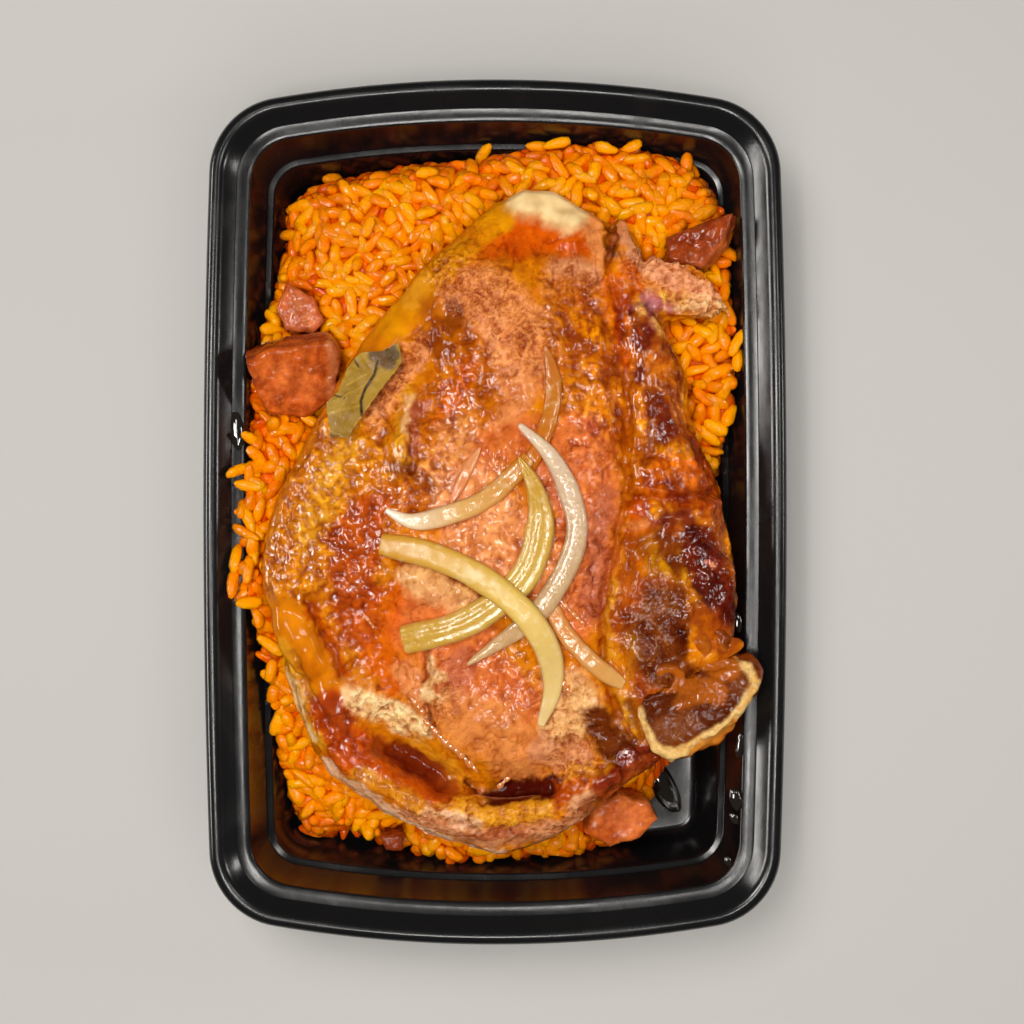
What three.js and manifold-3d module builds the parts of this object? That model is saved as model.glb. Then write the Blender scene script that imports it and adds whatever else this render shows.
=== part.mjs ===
// A rice meal in a black plastic tray: seasoned rice with ham cubes under a braised pork chop on the
// bone, with onion strips and a piece of bay leaf on top. Millimetres, +Z up, the origin under the
// middle of the tray, +Y towards the end where the rice is highest.
import * as THREE from "three";
import { mergeVertices } from "three/addons/utils/BufferGeometryUtils.js";
import Module from "manifold-3d";

const wasm = await Module();
wasm.setup();

// ---- driving dimensions ----

const GAP = 0.35; // left between pieces that touch

const TRAY = { width: 149.8, length: 222, wall: 0.8 };
const BOW = { sides: 2500, ends: 340 }; // radii of the tray's bowed sides and ends
const CORNER = { radius: 20, shrink: 0.8 }; // the corners tighten with each millimetre of inset
const STEPS = { side: 1, corner: 4, end: 3 }; // straight runs in each quarter of the outline

// The upper face of the tray in section, from the floor out over both ledges and the lip to the foot
// of the skirt: inset from the outline, height.
const TRAY_SECTION = [
  [20.5, 0.8],
  [18.7, 1.4],
  [17.7, 3.2],
  [14.6, 19.4],
  [13.9, 20],
  [12.7, 20],
  [10.5, 35.4],
  [9.8, 36],
  [6.8, 36],
  [3.9, 39.1],
  [3.0, 39.8],
  [1.9, 40],
  [0.8, 39.6],
  [0.1, 38.6],
  [0, 37.4],
  [0, 34.5],
];
const LIP_START = 9; // the section's point where the lip begins
const ROOM_TOP = 70; // the room inside the tray reaches well above the food

// The edge of the heap of rice, anticlockwise from the +X side: x, y, height of the rice there.
const RICE_EDGE = [
  [55, 0, 29],
  [58.9, 18.7, 32],
  [64, 33, 36.5],
  [63, 49.6, 34.5],
  [61.5, 65.4, 33],
  [59.6, 78.5, 32],
  [53, 88, 31],
  [37.9, 95.5, 30],
  [17, 97, 30],
  [1.3, 93, 30],
  [-19.6, 90, 30],
  [-42, 86.5, 30],
  [-53, 81.5, 29],
  [-55, 68.7, 29],
  [-57.5, 55.4, 31],
  [-61.5, 44.5, 34],
  [-63.2, 32.7, 36],
  [-62, 23.7, 37],
  [-66.6, 12.1, 39.4],
  [-66.2, -12.3, 39.4],
  [-67.2, -27.8, 39],
  [-64, -37.3, 32],
  [-62, -49.7, 25],
  [-61, -60.8, 21],
  [-56.8, -74.8, 17],
  [-52.5, -84.5, 15],
  [-40.4, -86, 16],
  [-32, -84.5, 16],
  [-22, -92.5, 17],
  [-13.5, -93.5, 17],
  [13.5, -93.5, 17],
  [27.5, -89.5, 15],
  [39.5, -77, 15],
  [44, -66, 17],
  [49, -48, 20],
  [52, -25, 25],
];
// Heights of the rice inside that edge: x, y, height.
const RICE_MIDDLE = [
  [-40, 70, 34],
  [-12, 80, 34],
  [25, 86, 34],
  [48, 76, 34],
  [55, 42, 34],
  [0, 40, 34],
  [-55, 0, 37],
  [0, 0, 34],
  [0, -45, 29],
  [-45, -55, 26],
  [-20, -82, 20],
  [15, -82, 20],
  [30, -60, 23],
];
const SAMPLE_REACH = 6.3; // measured heights are blended smoothly over about this distance
const RICE_RINGS = [0.4, 0.7, 0.88];
const RICE_EDGE_DROP = 1.5; // the core's rim lies this much below the measured edge
const RICE_FOOT = { spread: 7, level: -3 }; // the flank runs out and down, and the tray cuts it
const RICE_SIDES = 44;
const GRAIN = { length: 6.4, girth: 2.8, sides: 5, count: 158, spacing: 4.3, sink: 0.5 };
const GRAIN_PROFILE = [[0, -0.5], [0.47, -0.2], [0.47, 0.24], [0, 0.5]]; // shares of girth and length
const GRAIN_SLOPE = 0.5; // the steepest a grain lies
const GRAIN_SEED = 41;
const GRAIN_AREA = { x: [-69, 66], y: [-97, 100], lowest: 8 }; // where grains are tried
const GRAIN_TRIES = 9000;
const GRAIN_ROOT = 0.05; // the least share of a grain that is sunk in the heap

// The outline of the chop without its torn flap, anticlockwise from the +X side.
const CHOP_OUTLINE = [
  [60, -6],
  [57.5, 4],
  [54.5, 14],
  [50, 21.5],
  [49.5, 32],
  [45.5, 43],
  [42, 51],
  [38.5, 62],
  [35.5, 72.5],
  [31, 73.5],
  [25.5, 76.5],
  [19, 81],
  [11, 83.5],
  [3, 81.5],
  [-5, 75],
  [-16, 65.5],
  [-27, 52.5],
  [-37, 39],
  [-43.5, 27],
  [-50.5, 14],
  [-56, 2],
  [-59.3, -11],
  [-59, -21],
  [-54.5, -31],
  [-53.5, -40],
  [-50.5, -51],
  [-47.5, -61],
  [-39.5, -70.5],
  [-25, -79.5],
  [-10.8, -86],
  [2, -89.3],
  [16, -84],
  [27.7, -75.5],
  [36, -68],
  [44, -62],
  [52, -54],
  [58, -44],
  [61, -30],
  [61.5, -17],
];
const CHOP_CENTRE = [0, -4];
const CHOP_SIDES = 56;
// The chop in section along each ray from its centre: share of the way out, share of the thickness.
const CHOP_RINGS = [
  [0.16, 1],
  [0.32, 1],
  [0.46, 1],
  [0.59, 1],
  [0.7, 1],
  [0.79, 1],
  [0.87, 1],
  [0.94, 0.93],
  [0.985, 0.76],
  [1, 0.5],
  [0.98, 0.2],
  [0.92, 0.04],
  [0.6, 0],
];
// A simpler section, a little larger, for the hollow that the chop leaves in the rice.
const HOLLOW_RINGS = [
  [0.55, 1],
  [0.96, 1],
  [1.01, 0.5],
  [1, 0],
  [0.5, 0],
];
const HOLLOW = { sides: 33, grow: 0.9 };
// Heights of the chop's underside and its thickness: x, y, height, thickness.
const CHOP_BODY = [
  [8, 82, 31.5, 9],
  [-28, 48, 33, 10],
  [0, 45, 34, 13],
  [35, 60, 32, 10],
  [48, 30, 32, 12],
  [60, -5, 33, 11],
  [62, -35, 36.8, 10],
  [48, -58, 35, 10],
  [-57, -10, 36, 10],
  [-50, -45, 31, 11],
  [-35, -70, 27, 11],
  [2, -86, 24, 12],
  [30, -68, 29, 11],
  [0, 0, 35, 14],
  [-30, 0, 35, 13],
  [30, 0, 35, 13],
  [0, -45, 31, 13],
  [35, -40, 34, 13],
];
// Ridges (+) and furrows (-) along the top of the chop: height, half width and the route.
const CHOP_RIDGES = {
  seam: [-2.4, 3.2, [[29, 68], [32.5, 50], [33.8, 25], [32.8, -4], [27.5, -22], [27.5, -33], [33, -48]]],
  boneSide: [2.2, 8, [[40, 44], [43, 28], [47, 15], [52, 3], [53, -12], [49, -27]]],
  leftFat: [1.8, 8, [[-30, 42], [-47, 14], [-53, -7], [-52, -20]]],
  leftFurrow: [-1.6, 4.5, [[-32, 26], [-38, 8], [-39, -10], [-33, -26], [-28, -42]]],
  fold: [2.4, 7, [[-52, -24], [-49, -35], [-43, -46]]],
  rim: [4.2, 6, [[-42, -62], [-30, -70], [-19, -76], [-6, -81], [4, -82], [14, -79], [24, -72], [33, -66]]],
  leftHollow: [-4.8, 5, [[-28, -57], [-20, -63], [-11, -68]]],
  endHollow: [-4.6, 4, [[-4, -71.5], [4, -72], [13, -69]]],
  fatStreak: [1.6, 3.4, [[-21, 31], [-24, 17], [-22, 10]]],
  goldenLobe: [1.6, 6, [[-19, -18], [-9, -23]]],
};
// The torn flap of meat that hangs off the chop's +X, +Y corner, and the ragged strip beside it.
const FLAP = {
  outline: [[34, 58], [40, 66.5], [48.5, 61.5], [55, 59], [59.5, 52], [55, 49.5], [43, 49], [34, 46]],
  level: 36.2,
  height: 4.6,
  bevel: 1.4,
};

// The sawn bone at the chop's +X, -Y corner.
const BONE = {
  outline: [
    [37, -46],
    [36.2, -52],
    [39.5, -60],
    [44.5, -63.5],
    [50, -61.5],
    [61, -53],
    [66.8, -45],
    [68.4, -39.6],
    [64.5, -35.6],
    [57, -37],
    [46, -42],
  ],
  level: 37,
  height: 9.2,
  bevel: 1.6,
};

// Onion strips from the lowest to the highest: greatest width, thickness and the route of the middle.
const ONION_STRIPS = [
  { width: 4.6, thick: 1.8, route: [[12.7, 42], [14.7, 33.4], [14.2, 25.3], [11.6, 17.7], [8.4, 10.6]] },
  { width: 3, thick: 1.2, route: [[-3.6, 16.2], [-6, 12], [-8.6, 6.9], [-11, 1.8]] },
  { width: 5, thick: 1.8, route: [[13.6, -22.6], [17, -29.5], [21.6, -35], [26.6, -39.6], [32.4, -43.6]] },
  {
    width: 5.4,
    thick: 2,
    route: [[-27.4, 0.4], [-20, -2.4], [-10, -0.2], [-2.3, 3.2], [4, 8.5], [8.6, 13.6]],
  },
  {
    width: 8,
    thick: 2.2,
    route: [[5.8, 14], [10, 6], [11.4, -3], [8.6, -14], [1.6, -22], [-9, -28.6], [-23.2, -32.4]],
  },
  {
    width: 6,
    thick: 2.2,
    route: [[6.2, 21.8], [14, 14], [19, 4], [20.6, -5.5], [17, -16], [9, -27], [-7, -38.6]],
  },
  {
    width: 7.2,
    thick: 2.2,
    route: [[-28.8, -8], [-16, -10.8], [-4, -16.2], [6.6, -24.4], [13, -34], [14.6, -44], [11.6, -54]],
  },
];
const ONION_STEP = 3.5; // between the sections of a strip
// A strip across, as shares of its half width and its thickness.
const ONION_SECTION = [[1, 0.35], [0.5, 1], [-0.5, 1], [-1, 0.35], [-0.6, 0], [0.6, 0]];
const ONION_TAPER = { power: 2.4, blunt: 0.7, tip: 0.12 };
const ONION_MARGIN = 0.4; // a strip is kept clear of bumps this far beside it
const ONION_BEND = 14; // the tightest radius a strip takes over what it lies on

// The piece of bay leaf on the chop's -X, +Y edge.
const LEAF = {
  outline: [
    [-24, 42.6],
    [-29, 40.4],
    [-34, 40.2],
    [-37, 36.6],
    [-39.4, 30],
    [-42.2, 27.4],
    [-41.2, 19],
    [-36.6, 18.4],
    [-34.4, 22.4],
    [-31.6, 26.4],
    [-28, 31.6],
    [-23.4, 37.6],
  ],
  lift: 0.6, // above what it lies on
  props: 2, // between the places where the chop under it is felt
  thick: 0.6,
  wave: 0.5,
  bend: 30,
};

// Ham cubes: outline in plan, height of the underside, thickness and how far each leans about X and Y.
const HAMS = [
  {
    outline: [[-54, 60], [-47, 56], [-44.6, 50], [-47.6, 46.8], [-54.5, 48], [-57, 53]],
    level: 27,
    height: 9,
    lean: [0.1, 0.05],
  },
  {
    outline: [[-64.4, 42.6], [-58.8, 45.4], [-42.6, 47.4], [-40.2, 43], [-42.4, 31], [-50, 26.8],
      [-60, 29]],
    level: 33.4,
    height: 9.5,
    lean: [0.42, 0.13],
  },
  {
    outline: [[45.4, 70.4], [57, 74], [63.4, 75.6], [60.6, 67.6], [54.8, 61.6], [46, 64]],
    level: 31,
    height: 8,
    lean: [-0.1, -0.3],
  },
  {
    outline: [[22.5, -83.4], [29, -87.6], [36.5, -85.6], [42.6, -80.6], [39.4, -75.6], [31, -73.4],
      [25, -77]],
    level: 11.5,
    height: 12,
    lean: [0.12, 0.1],
  },
  {
    outline: [[-31, -86], [-24.6, -85.6], [-25.2, -90.2], [-29.6, -90]],
    level: 10.5,
    height: 9,
    lean: [0.05, 0],
  },
];
const HAM_BEVEL = 0.8;

// ---- materials ----

function material(colour, roughness, metalness = 0) {
  return new THREE.MeshStandardMaterial({ color: colour, roughness, metalness, flatShading: true });
}

const LOOKS = {
  tray: material(0x0c0c0d, 0.35),
  rice: material(0xe8761a, 0.45),
  chop: material(0xb9602c, 0.35),
  bone: material(0x8a5a2e, 0.5),
  onion: material(0xd9b95e, 0.3),
  leaf: material(0x6f6a22, 0.5),
  ham: material(0xb5523a, 0.4),
};

// ---- shared geometry ----

// A closed surface through rings of points, shut at both ends by a fan to a point.
function loft(first, rings, last) {
  const size = rings[0].length;
  const points = [first, ...rings.flat(), last];
  const at = (ring, i) => 1 + ring * size + (i % size);
  const faces = [];
  for (let i = 0; i < size; i++) {
    faces.push(0, at(0, i), at(0, i + 1));
    for (let ring = 0; ring + 1 < rings.length; ring++) {
      faces.push(at(ring, i), at(ring + 1, i), at(ring + 1, i + 1));
      faces.push(at(ring, i), at(ring + 1, i + 1), at(ring, i + 1));
    }
    faces.push(points.length - 1, at(rings.length - 1, i + 1), at(rings.length - 1, i));
  }
  return new THREE.BufferGeometry().setFromPoints(points).setIndex(faces);
}

function toSolid(geometry) {
  const bare = geometry.clone();
  bare.deleteAttribute("normal");
  bare.deleteAttribute("uv");
  const merged = mergeVertices(bare, 1e-4);
  return new wasm.Manifold(
    new wasm.Mesh({
      numProp: 3,
      vertProperties: merged.getAttribute("position").array,
      triVerts: new Uint32Array(merged.index.array),
    }),
  );
}

function toGeometry(solid) {
  const { vertProperties, triVerts } = solid.getMesh();
  return new THREE.BufferGeometry()
    .setAttribute("position", new THREE.BufferAttribute(new Float32Array(vertProperties), 3))
    .setIndex(new THREE.BufferAttribute(new Uint32Array(triVerts), 1));
}

function mesh(name, geometry, look) {
  geometry.computeVertexNormals();
  const made = new THREE.Mesh(geometry, look);
  made.name = name;
  return made;
}

// The largest body of a cut solid, so that no loose scrap is left.
function largestBody(solid) {
  const bodies = solid.decompose();
  return bodies.reduce((best, body) => (body.volume() > best.volume() ? body : best));
}

// A smooth closed curve through points [x, y] or [x, y, z], as evenly spaced points.
function smoothLoop(points, count) {
  const corners = points.map(([x, y, z = 0]) => new THREE.Vector3(x, y, z));
  return new THREE.CatmullRomCurve3(corners, true).getSpacedPoints(count).slice(0, count);
}

// The mean of some measured samples [x, y, value, ...], weighted to those nearest to a place.
function blend(samples, column, x, y) {
  let sum = 0;
  let weights = 0;
  for (const sample of samples) {
    const distance = (sample[0] - x) ** 2 + (sample[1] - y) ** 2;
    const weight = 1 / (distance + SAMPLE_REACH ** 2) ** 2;
    sum += weight * sample[column];
    weights += weight;
  }
  return sum / weights;
}

// The distance from a place to a route of straight runs.
function distanceToRoute(route, x, y) {
  let nearest = Infinity;
  for (let i = 0; i + 1 < route.length; i++) {
    const [ax, ay] = route[i];
    const [bx, by] = route[i + 1];
    const along = ((x - ax) * (bx - ax) + (y - ay) * (by - ay)) / ((bx - ax) ** 2 + (by - ay) ** 2);
    const share = THREE.MathUtils.clamp(along, 0, 1);
    nearest = Math.min(nearest, Math.hypot(ax + share * (bx - ax) - x, ay + share * (by - ay) - y));
  }
  return nearest;
}

// A function that gives the highest point of some surfaces above a place, or -Infinity off them.
function topOf(geometries) {
  const triangles = geometries.flatMap((geometry) => {
    const flat = geometry.toNonIndexed().getAttribute("position");
    const list = [];
    for (let i = 0; i < flat.count; i += 3) {
      list.push([0, 1, 2].map((k) => new THREE.Vector3().fromBufferAttribute(flat, i + k)));
    }
    return list;
  });
  const boxes = triangles.map((corners) => new THREE.Box3().setFromPoints(corners));
  return (x, y) => {
    let top = -Infinity;
    triangles.forEach(([a, b, c], i) => {
      const { min, max } = boxes[i];
      if (x < min.x || x > max.x || y < min.y || y > max.y || max.z < top) return;
      const area = (b.x - a.x) * (c.y - a.y) - (c.x - a.x) * (b.y - a.y);
      if (Math.abs(area) < 1e-9) return;
      const u = ((b.x - x) * (c.y - y) - (c.x - x) * (b.y - y)) / area;
      const v = ((c.x - x) * (a.y - y) - (a.x - x) * (c.y - y)) / area;
      if (u < 0 || v < 0 || u + v > 1) return;
      top = Math.max(top, u * a.z + v * b.z + (1 - u - v) * c.z);
    });
    return top;
  };
}

// ---- tray ----

// The points where two circles meet; the one with x and y above zero is wanted here.
function meetingPoint(a, radiusA, b, radiusB) {
  const between = b.clone().sub(a);
  const distance = between.length();
  const along = (radiusA ** 2 - radiusB ** 2 + distance ** 2) / (2 * distance);
  const aside = Math.sqrt(radiusA ** 2 - along ** 2);
  const direction = between.normalize();
  const normal = new THREE.Vector2(-direction.y, direction.x);
  const base = a.clone().addScaledVector(direction, along);
  const meets = [1, -1].map((sign) => base.clone().addScaledVector(normal, sign * aside));
  return meets.find((point) => point.x > 0 && point.y > 0);
}

function arc(centre, radius, from, to, steps) {
  return Array.from({ length: steps + 1 }, (_, i) => {
    const angle = from + ((to - from) * i) / steps;
    return new THREE.Vector2(centre.x + radius * Math.cos(angle), centre.y + radius * Math.sin(angle));
  });
}

// The tray's outline drawn in by an inset: bowed sides and ends that run into round corners.
function trayOutline(inset) {
  const sideCentre = new THREE.Vector2(TRAY.width / 2 - BOW.sides, 0);
  const endCentre = new THREE.Vector2(0, TRAY.length / 2 - BOW.ends);
  const radius = CORNER.radius - CORNER.shrink * inset;
  const side = BOW.sides - inset;
  const end = BOW.ends - inset;
  const corner = meetingPoint(sideCentre, side - radius, endCentre, end - radius);
  const low = corner.clone().sub(sideCentre).angle();
  const high = corner.clone().sub(endCentre).angle();
  const quarter = [
    ...arc(sideCentre, side, 0, low, STEPS.side),
    ...arc(corner, radius, low, high, STEPS.corner).slice(1),
    ...arc(endCentre, end, high, Math.PI / 2, STEPS.end).slice(1),
  ];
  const turned = (x, y) => quarter.map((p) => new THREE.Vector2(x * p.x, y * p.y));
  return [
    ...turned(1, 1).slice(0, -1),
    ...turned(-1, 1).reverse().slice(0, -1),
    ...turned(-1, -1).slice(0, -1),
    ...turned(1, -1).reverse().slice(0, -1),
  ];
}

// A section moved sideways by a distance: above zero into the tray's room, below zero into its wall.
function offsetSection(section, distance) {
  return section.map((point, i) => {
    const before = new THREE.Vector2(...section[Math.max(i - 1, 0)]);
    const here = new THREE.Vector2(...point);
    const after = new THREE.Vector2(...section[Math.min(i + 1, section.length - 1)]);
    const runs = [here.clone().sub(before), after.clone().sub(here)].filter((run) => run.length() > 0);
    const normals = runs.map((run) => new THREE.Vector2(-run.y, run.x).normalize().negate());
    const mitre = normals[0].clone().add(normals.at(-1)).normalize();
    return here.addScaledVector(mitre, distance / mitre.dot(normals[0])).toArray();
  });
}

function trayRing([inset, height]) {
  return trayOutline(inset).map((p) => new THREE.Vector3(p.x, p.y, height));
}

function trayGeometry() {
  const upper = TRAY_SECTION;
  const lower = offsetSection(TRAY_SECTION, -TRAY.wall).reverse();
  const middle = (height) => new THREE.Vector3(0, 0, height);
  return loft(middle(upper[0][1]), [...upper, ...lower].map(trayRing), middle(lower.at(-1)[1]));
}

// The room inside the tray, up to well above the lip, clear of the tray by the gap.
function trayRoom() {
  const walls = offsetSection(TRAY_SECTION.slice(0, LIP_START + 1), GAP).reverse();
  const top = [walls[0][0], ROOM_TOP];
  const middle = (height) => new THREE.Vector3(0, 0, height);
  return toSolid(loft(middle(top[1]), [top, ...walls].map(trayRing), middle(walls.at(-1)[1])));
}

// ---- chop ----

function chopRelief(x, y) {
  return Object.values(CHOP_RIDGES).reduce((sum, [height, width, route]) => {
    return sum + height * Math.exp(-((distanceToRoute(route, x, y) / width) ** 2));
  }, 0);
}

// The body of the chop, larger all round by what it is grown.
function chopBody(grow, section, sides) {
  const [cx, cy] = CHOP_CENTRE;
  const edge = smoothLoop(CHOP_OUTLINE, sides);
  const heightAt = (x, y, share) => {
    const under = blend(CHOP_BODY, 2, x, y) - grow;
    const thick = blend(CHOP_BODY, 3, x, y) + 2 * grow;
    return under + share * (thick + chopRelief(x, y));
  };
  const rings = section.map(([out, share]) =>
    edge.map((p) => {
      const reach = Math.hypot(p.x - cx, p.y - cy);
      const scale = (out * (reach + grow)) / reach;
      const x = cx + scale * (p.x - cx);
      const y = cy + scale * (p.y - cy);
      return new THREE.Vector3(x, y, heightAt(x, y, share));
    }),
  );
  const middle = (share) => new THREE.Vector3(cx, cy, heightAt(cx, cy, share));
  return toSolid(loft(middle(1), rings, middle(0)));
}

// A slab of food with bevelled edges over an outline in plan.
function slab({ outline, height, bevel = HAM_BEVEL }, grow) {
  const shape = new THREE.Shape(outline.map(([x, y]) => new THREE.Vector2(x, y)));
  const settings = {
    depth: height - 2 * bevel,
    bevelSegments: 1,
    bevelThickness: bevel + grow,
    bevelSize: bevel + grow,
    bevelOffset: -bevel,
  };
  return new THREE.ExtrudeGeometry(shape, settings).translate(0, 0, bevel);
}

function chopSolid(grow) {
  const flap = slab(FLAP, grow).translate(0, 0, FLAP.level);
  const bone = slab(BONE, GAP - grow).translate(0, 0, BONE.level);
  const body = chopBody(grow, CHOP_RINGS, CHOP_SIDES);
  return largestBody(body.add(toSolid(flap)).subtract(toSolid(bone)));
}

// The room that the chop and its bone take up in the rice.
function chopHollow() {
  const flap = slab(FLAP, HOLLOW.grow).translate(0, 0, FLAP.level);
  const bone = boneGeometry(HOLLOW.grow);
  return chopBody(HOLLOW.grow, HOLLOW_RINGS, HOLLOW.sides).add(toSolid(flap)).add(toSolid(bone));
}

function boneGeometry(grow) {
  return slab(BONE, grow).translate(0, 0, BONE.level);
}

// ---- rice ----

function riceCore(room, hollow) {
  const samples = [...RICE_EDGE, ...RICE_MIDDLE];
  const edge = smoothLoop(RICE_EDGE, RICE_SIDES);
  const ring = (out, heightAt) =>
    edge.map((p) => new THREE.Vector3(out * p.x, out * p.y, heightAt(out * p.x, out * p.y, p)));
  const surface = (x, y) => blend(samples, 2, x, y);
  const foot = edge.map((p) => {
    const scale = 1 + RICE_FOOT.spread / Math.hypot(p.x, p.y);
    return new THREE.Vector3(scale * p.x, scale * p.y, RICE_FOOT.level);
  });
  const rings = [
    ...RICE_RINGS.map((out) => ring(out, surface)),
    ring(1, (x, y, p) => p.z - RICE_EDGE_DROP),
    foot,
  ];
  const middle = (height) => new THREE.Vector3(0, 0, height);
  const heap = toSolid(loft(middle(surface(0, 0)), rings, middle(RICE_FOOT.level)));
  return largestBody(heap.intersect(room).subtract(hollow));
}

// One grain with few sides, lying along X.
function grainGeometry(size) {
  const { length, girth, sides } = GRAIN;
  const points = GRAIN_PROFILE.map(
    ([out, along]) => new THREE.Vector2(size * out * girth, size * along * length),
  );
  return new THREE.LatheGeometry(points, sides).rotateZ(Math.PI / 2);
}

// Rice grains laid over the core where it shows, each kept clear of the tray and of the toppings.
function layGrains(core, room, toppings) {
  const random = () => THREE.MathUtils.seededRandom();
  THREE.MathUtils.seededRandom(GRAIN_SEED);
  const coreTop = topOf([toGeometry(core)]);
  const cover = topOf([toGeometry(toppings)]);
  const laid = [];
  let heap = core;
  for (let tries = 0; tries < GRAIN_TRIES && laid.length < GRAIN.count; tries++) {
    const x = THREE.MathUtils.lerp(...GRAIN_AREA.x, random());
    const y = THREE.MathUtils.lerp(...GRAIN_AREA.y, random());
    const turn = Math.PI * random();
    const size = 0.85 + 0.3 * random();
    const z = coreTop(x, y);
    if (z < GRAIN_AREA.lowest || cover(x, y) > z) continue;
    if (laid.some((spot) => spot.distanceTo(new THREE.Vector2(x, y)) < GRAIN.spacing)) continue;
    const reach = 0.4 * GRAIN.length;
    const ahead = coreTop(x + reach * Math.cos(turn), y + reach * Math.sin(turn));
    const behind = coreTop(x - reach * Math.cos(turn), y - reach * Math.sin(turn));
    const rise = THREE.MathUtils.clamp((ahead - behind) / (2 * reach), -GRAIN_SLOPE, GRAIN_SLOPE) || 0;
    const geometry = grainGeometry(size);
    geometry.rotateY(-Math.atan(rise)).rotateZ(turn);
    geometry.translate(x, y, z + GRAIN.sink);
    const grain = toSolid(geometry);
    const loose = grain.subtract(room).volume() > 0 || grain.intersect(toppings).volume() > 0;
    if (loose || grain.intersect(heap).volume() < GRAIN_ROOT * grain.volume()) continue;
    heap = heap.add(grain);
    laid.push(new THREE.Vector2(x, y));
  }
  return largestBody(heap);
}

// ---- toppings ----

// The lowest a strip can lie over heights taken each millimetre without bending too tightly.
function drape(heights, bend) {
  return heights.map((_, i) =>
    heights.reduce((top, height, j) => Math.max(top, height - (i - j) ** 2 / (2 * bend)), -Infinity),
  );
}

function stripGeometry({ width, thick, route }, ground) {
  const corners = route.map(([x, y]) => new THREE.Vector3(x, y, 0));
  const curve = new THREE.CatmullRomCurve3(corners);
  const length = curve.getLength();
  const { power, blunt, tip: narrowest } = ONION_TAPER;
  const fullness = (share) => Math.max(narrowest, 1 - Math.abs(2 * share - 1) ** power) ** blunt;
  const halfWidth = (share) => (width / 2) * fullness(share);
  const across = (share) => {
    const tangent = curve.getTangentAt(share);
    return new THREE.Vector3(tangent.y, -tangent.x, 0).normalize();
  };
  const heights = Array.from({ length: Math.ceil(length) + 1 }, (_, i) => {
    const share = Math.min(i / length, 1);
    const middle = curve.getPointAt(share);
    const tops = [-1, -0.5, 0, 0.5, 1].map((side) => {
      const place = middle.clone().addScaledVector(across(share), side * (halfWidth(share) + ONION_MARGIN));
      return ground(place.x, place.y);
    });
    return Math.max(...tops);
  });
  const laid = drape(heights, ONION_BEND);
  const count = Math.ceil(length / ONION_STEP);
  const ring = (share) => {
    const middle = curve.getPointAt(share);
    middle.z = laid[Math.min(Math.round(share * length), laid.length - 1)] + GAP;
    return ONION_SECTION.map(([side, up]) => {
      const point = middle.clone().addScaledVector(across(share), side * halfWidth(share));
      point.z += up * thick * (0.5 + 0.5 * fullness(share));
      return point;
    });
  };
  const rings = Array.from({ length: count + 1 }, (_, i) => ring(i / count));
  const tip = (points) => points.reduce((sum, p) => sum.add(p), new THREE.Vector3()).divideScalar(6);
  return loft(tip(rings[0]), rings, tip(rings.at(-1)));
}

function leafGeometry(ground) {
  const { outline, thick, wave, bend } = LEAF;
  const edge = outline.map(([x, y]) => new THREE.Vector3(x, y, 0));
  const centre = edge.reduce((sum, p) => sum.add(p), new THREE.Vector3()).divideScalar(edge.length);
  const props = [];
  const { min, max } = new THREE.Box3().setFromPoints(edge).expandByScalar(2 * LEAF.props);
  for (let { x } = min; x <= max.x; x += LEAF.props) {
    for (let { y } = min; y <= max.y; y += LEAF.props) props.push([x, y, ground(x, y)]);
  }
  const rest = (x, y) =>
    props.reduce((top, [px, py, h]) => Math.max(top, h - ((x - px) ** 2 + (y - py) ** 2) / (2 * bend)), 0);
  const ripple = (x, y) => wave * (1 + Math.sin(0.9 * x - 0.5 * y));
  const face = (out, lift) =>
    edge.map((p) => {
      const { x, y } = centre.clone().lerp(p, out);
      return new THREE.Vector3(x, y, rest(x, y) + ripple(x, y) + lift);
    });
  const middle = (lift) => {
    const height = rest(centre.x, centre.y) + ripple(centre.x, centre.y) + lift;
    return new THREE.Vector3(centre.x, centre.y, height);
  };
  const under = LEAF.lift;
  const over = under + thick;
  const rings = [face(0.5, over), face(1, over), face(1, under), face(0.5, under)];
  return loft(middle(over), rings, middle(under));
}

// A ham cube about the middle of its outline, so that it can lean where it lies.
function hamGeometry(ham, grow) {
  const shift = hamMiddle(ham);
  const local = { ...ham, outline: ham.outline.map(([x, y]) => [x - shift.x, y - shift.y]) };
  return slab(local, grow);
}

function hamMiddle({ outline, level }) {
  const box = new THREE.Box2().setFromPoints(outline.map(([x, y]) => new THREE.Vector2(x, y)));
  const middle = box.getCenter(new THREE.Vector2());
  return new THREE.Vector3(middle.x, middle.y, level);
}

function hamMesh(ham, name, grow) {
  const made = mesh(name, hamGeometry(ham, grow), LOOKS.ham);
  made.position.copy(hamMiddle(ham));
  made.rotation.set(ham.lean[0], ham.lean[1], 0);
  made.updateMatrixWorld(true);
  return made;
}

function hamSolid(ham, grow) {
  const made = hamMesh(ham, "ham", grow);
  return toSolid(made.geometry.clone().applyMatrix4(made.matrixWorld));
}

// ---- the meal ----

const room = trayRoom();
const hams = HAMS.map((ham) => hamSolid(ham, GAP));
const chop = hams.reduce((left, ham) => left.subtract(ham), chopSolid(0));
const wideChop = chopSolid(GAP).add(toSolid(boneGeometry(GAP)));
const toppings = hams.reduce((all, ham) => all.add(ham), wideChop);
const hollow = hams.reduce((all, ham) => all.add(ham), chopHollow());
const core = riceCore(room, hollow);

const meal = new THREE.Group();
const food = new THREE.Group();
meal.add(mesh("tray", trayGeometry(), LOOKS.tray), food);
food.add(mesh("rice", toGeometry(layGrains(core, room, toppings)), LOOKS.rice));
const chopGeometry = toGeometry(largestBody(chop));
food.add(mesh("chop", chopGeometry, LOOKS.chop));
food.add(mesh("chop_bone", boneGeometry(0), LOOKS.bone));

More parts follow.
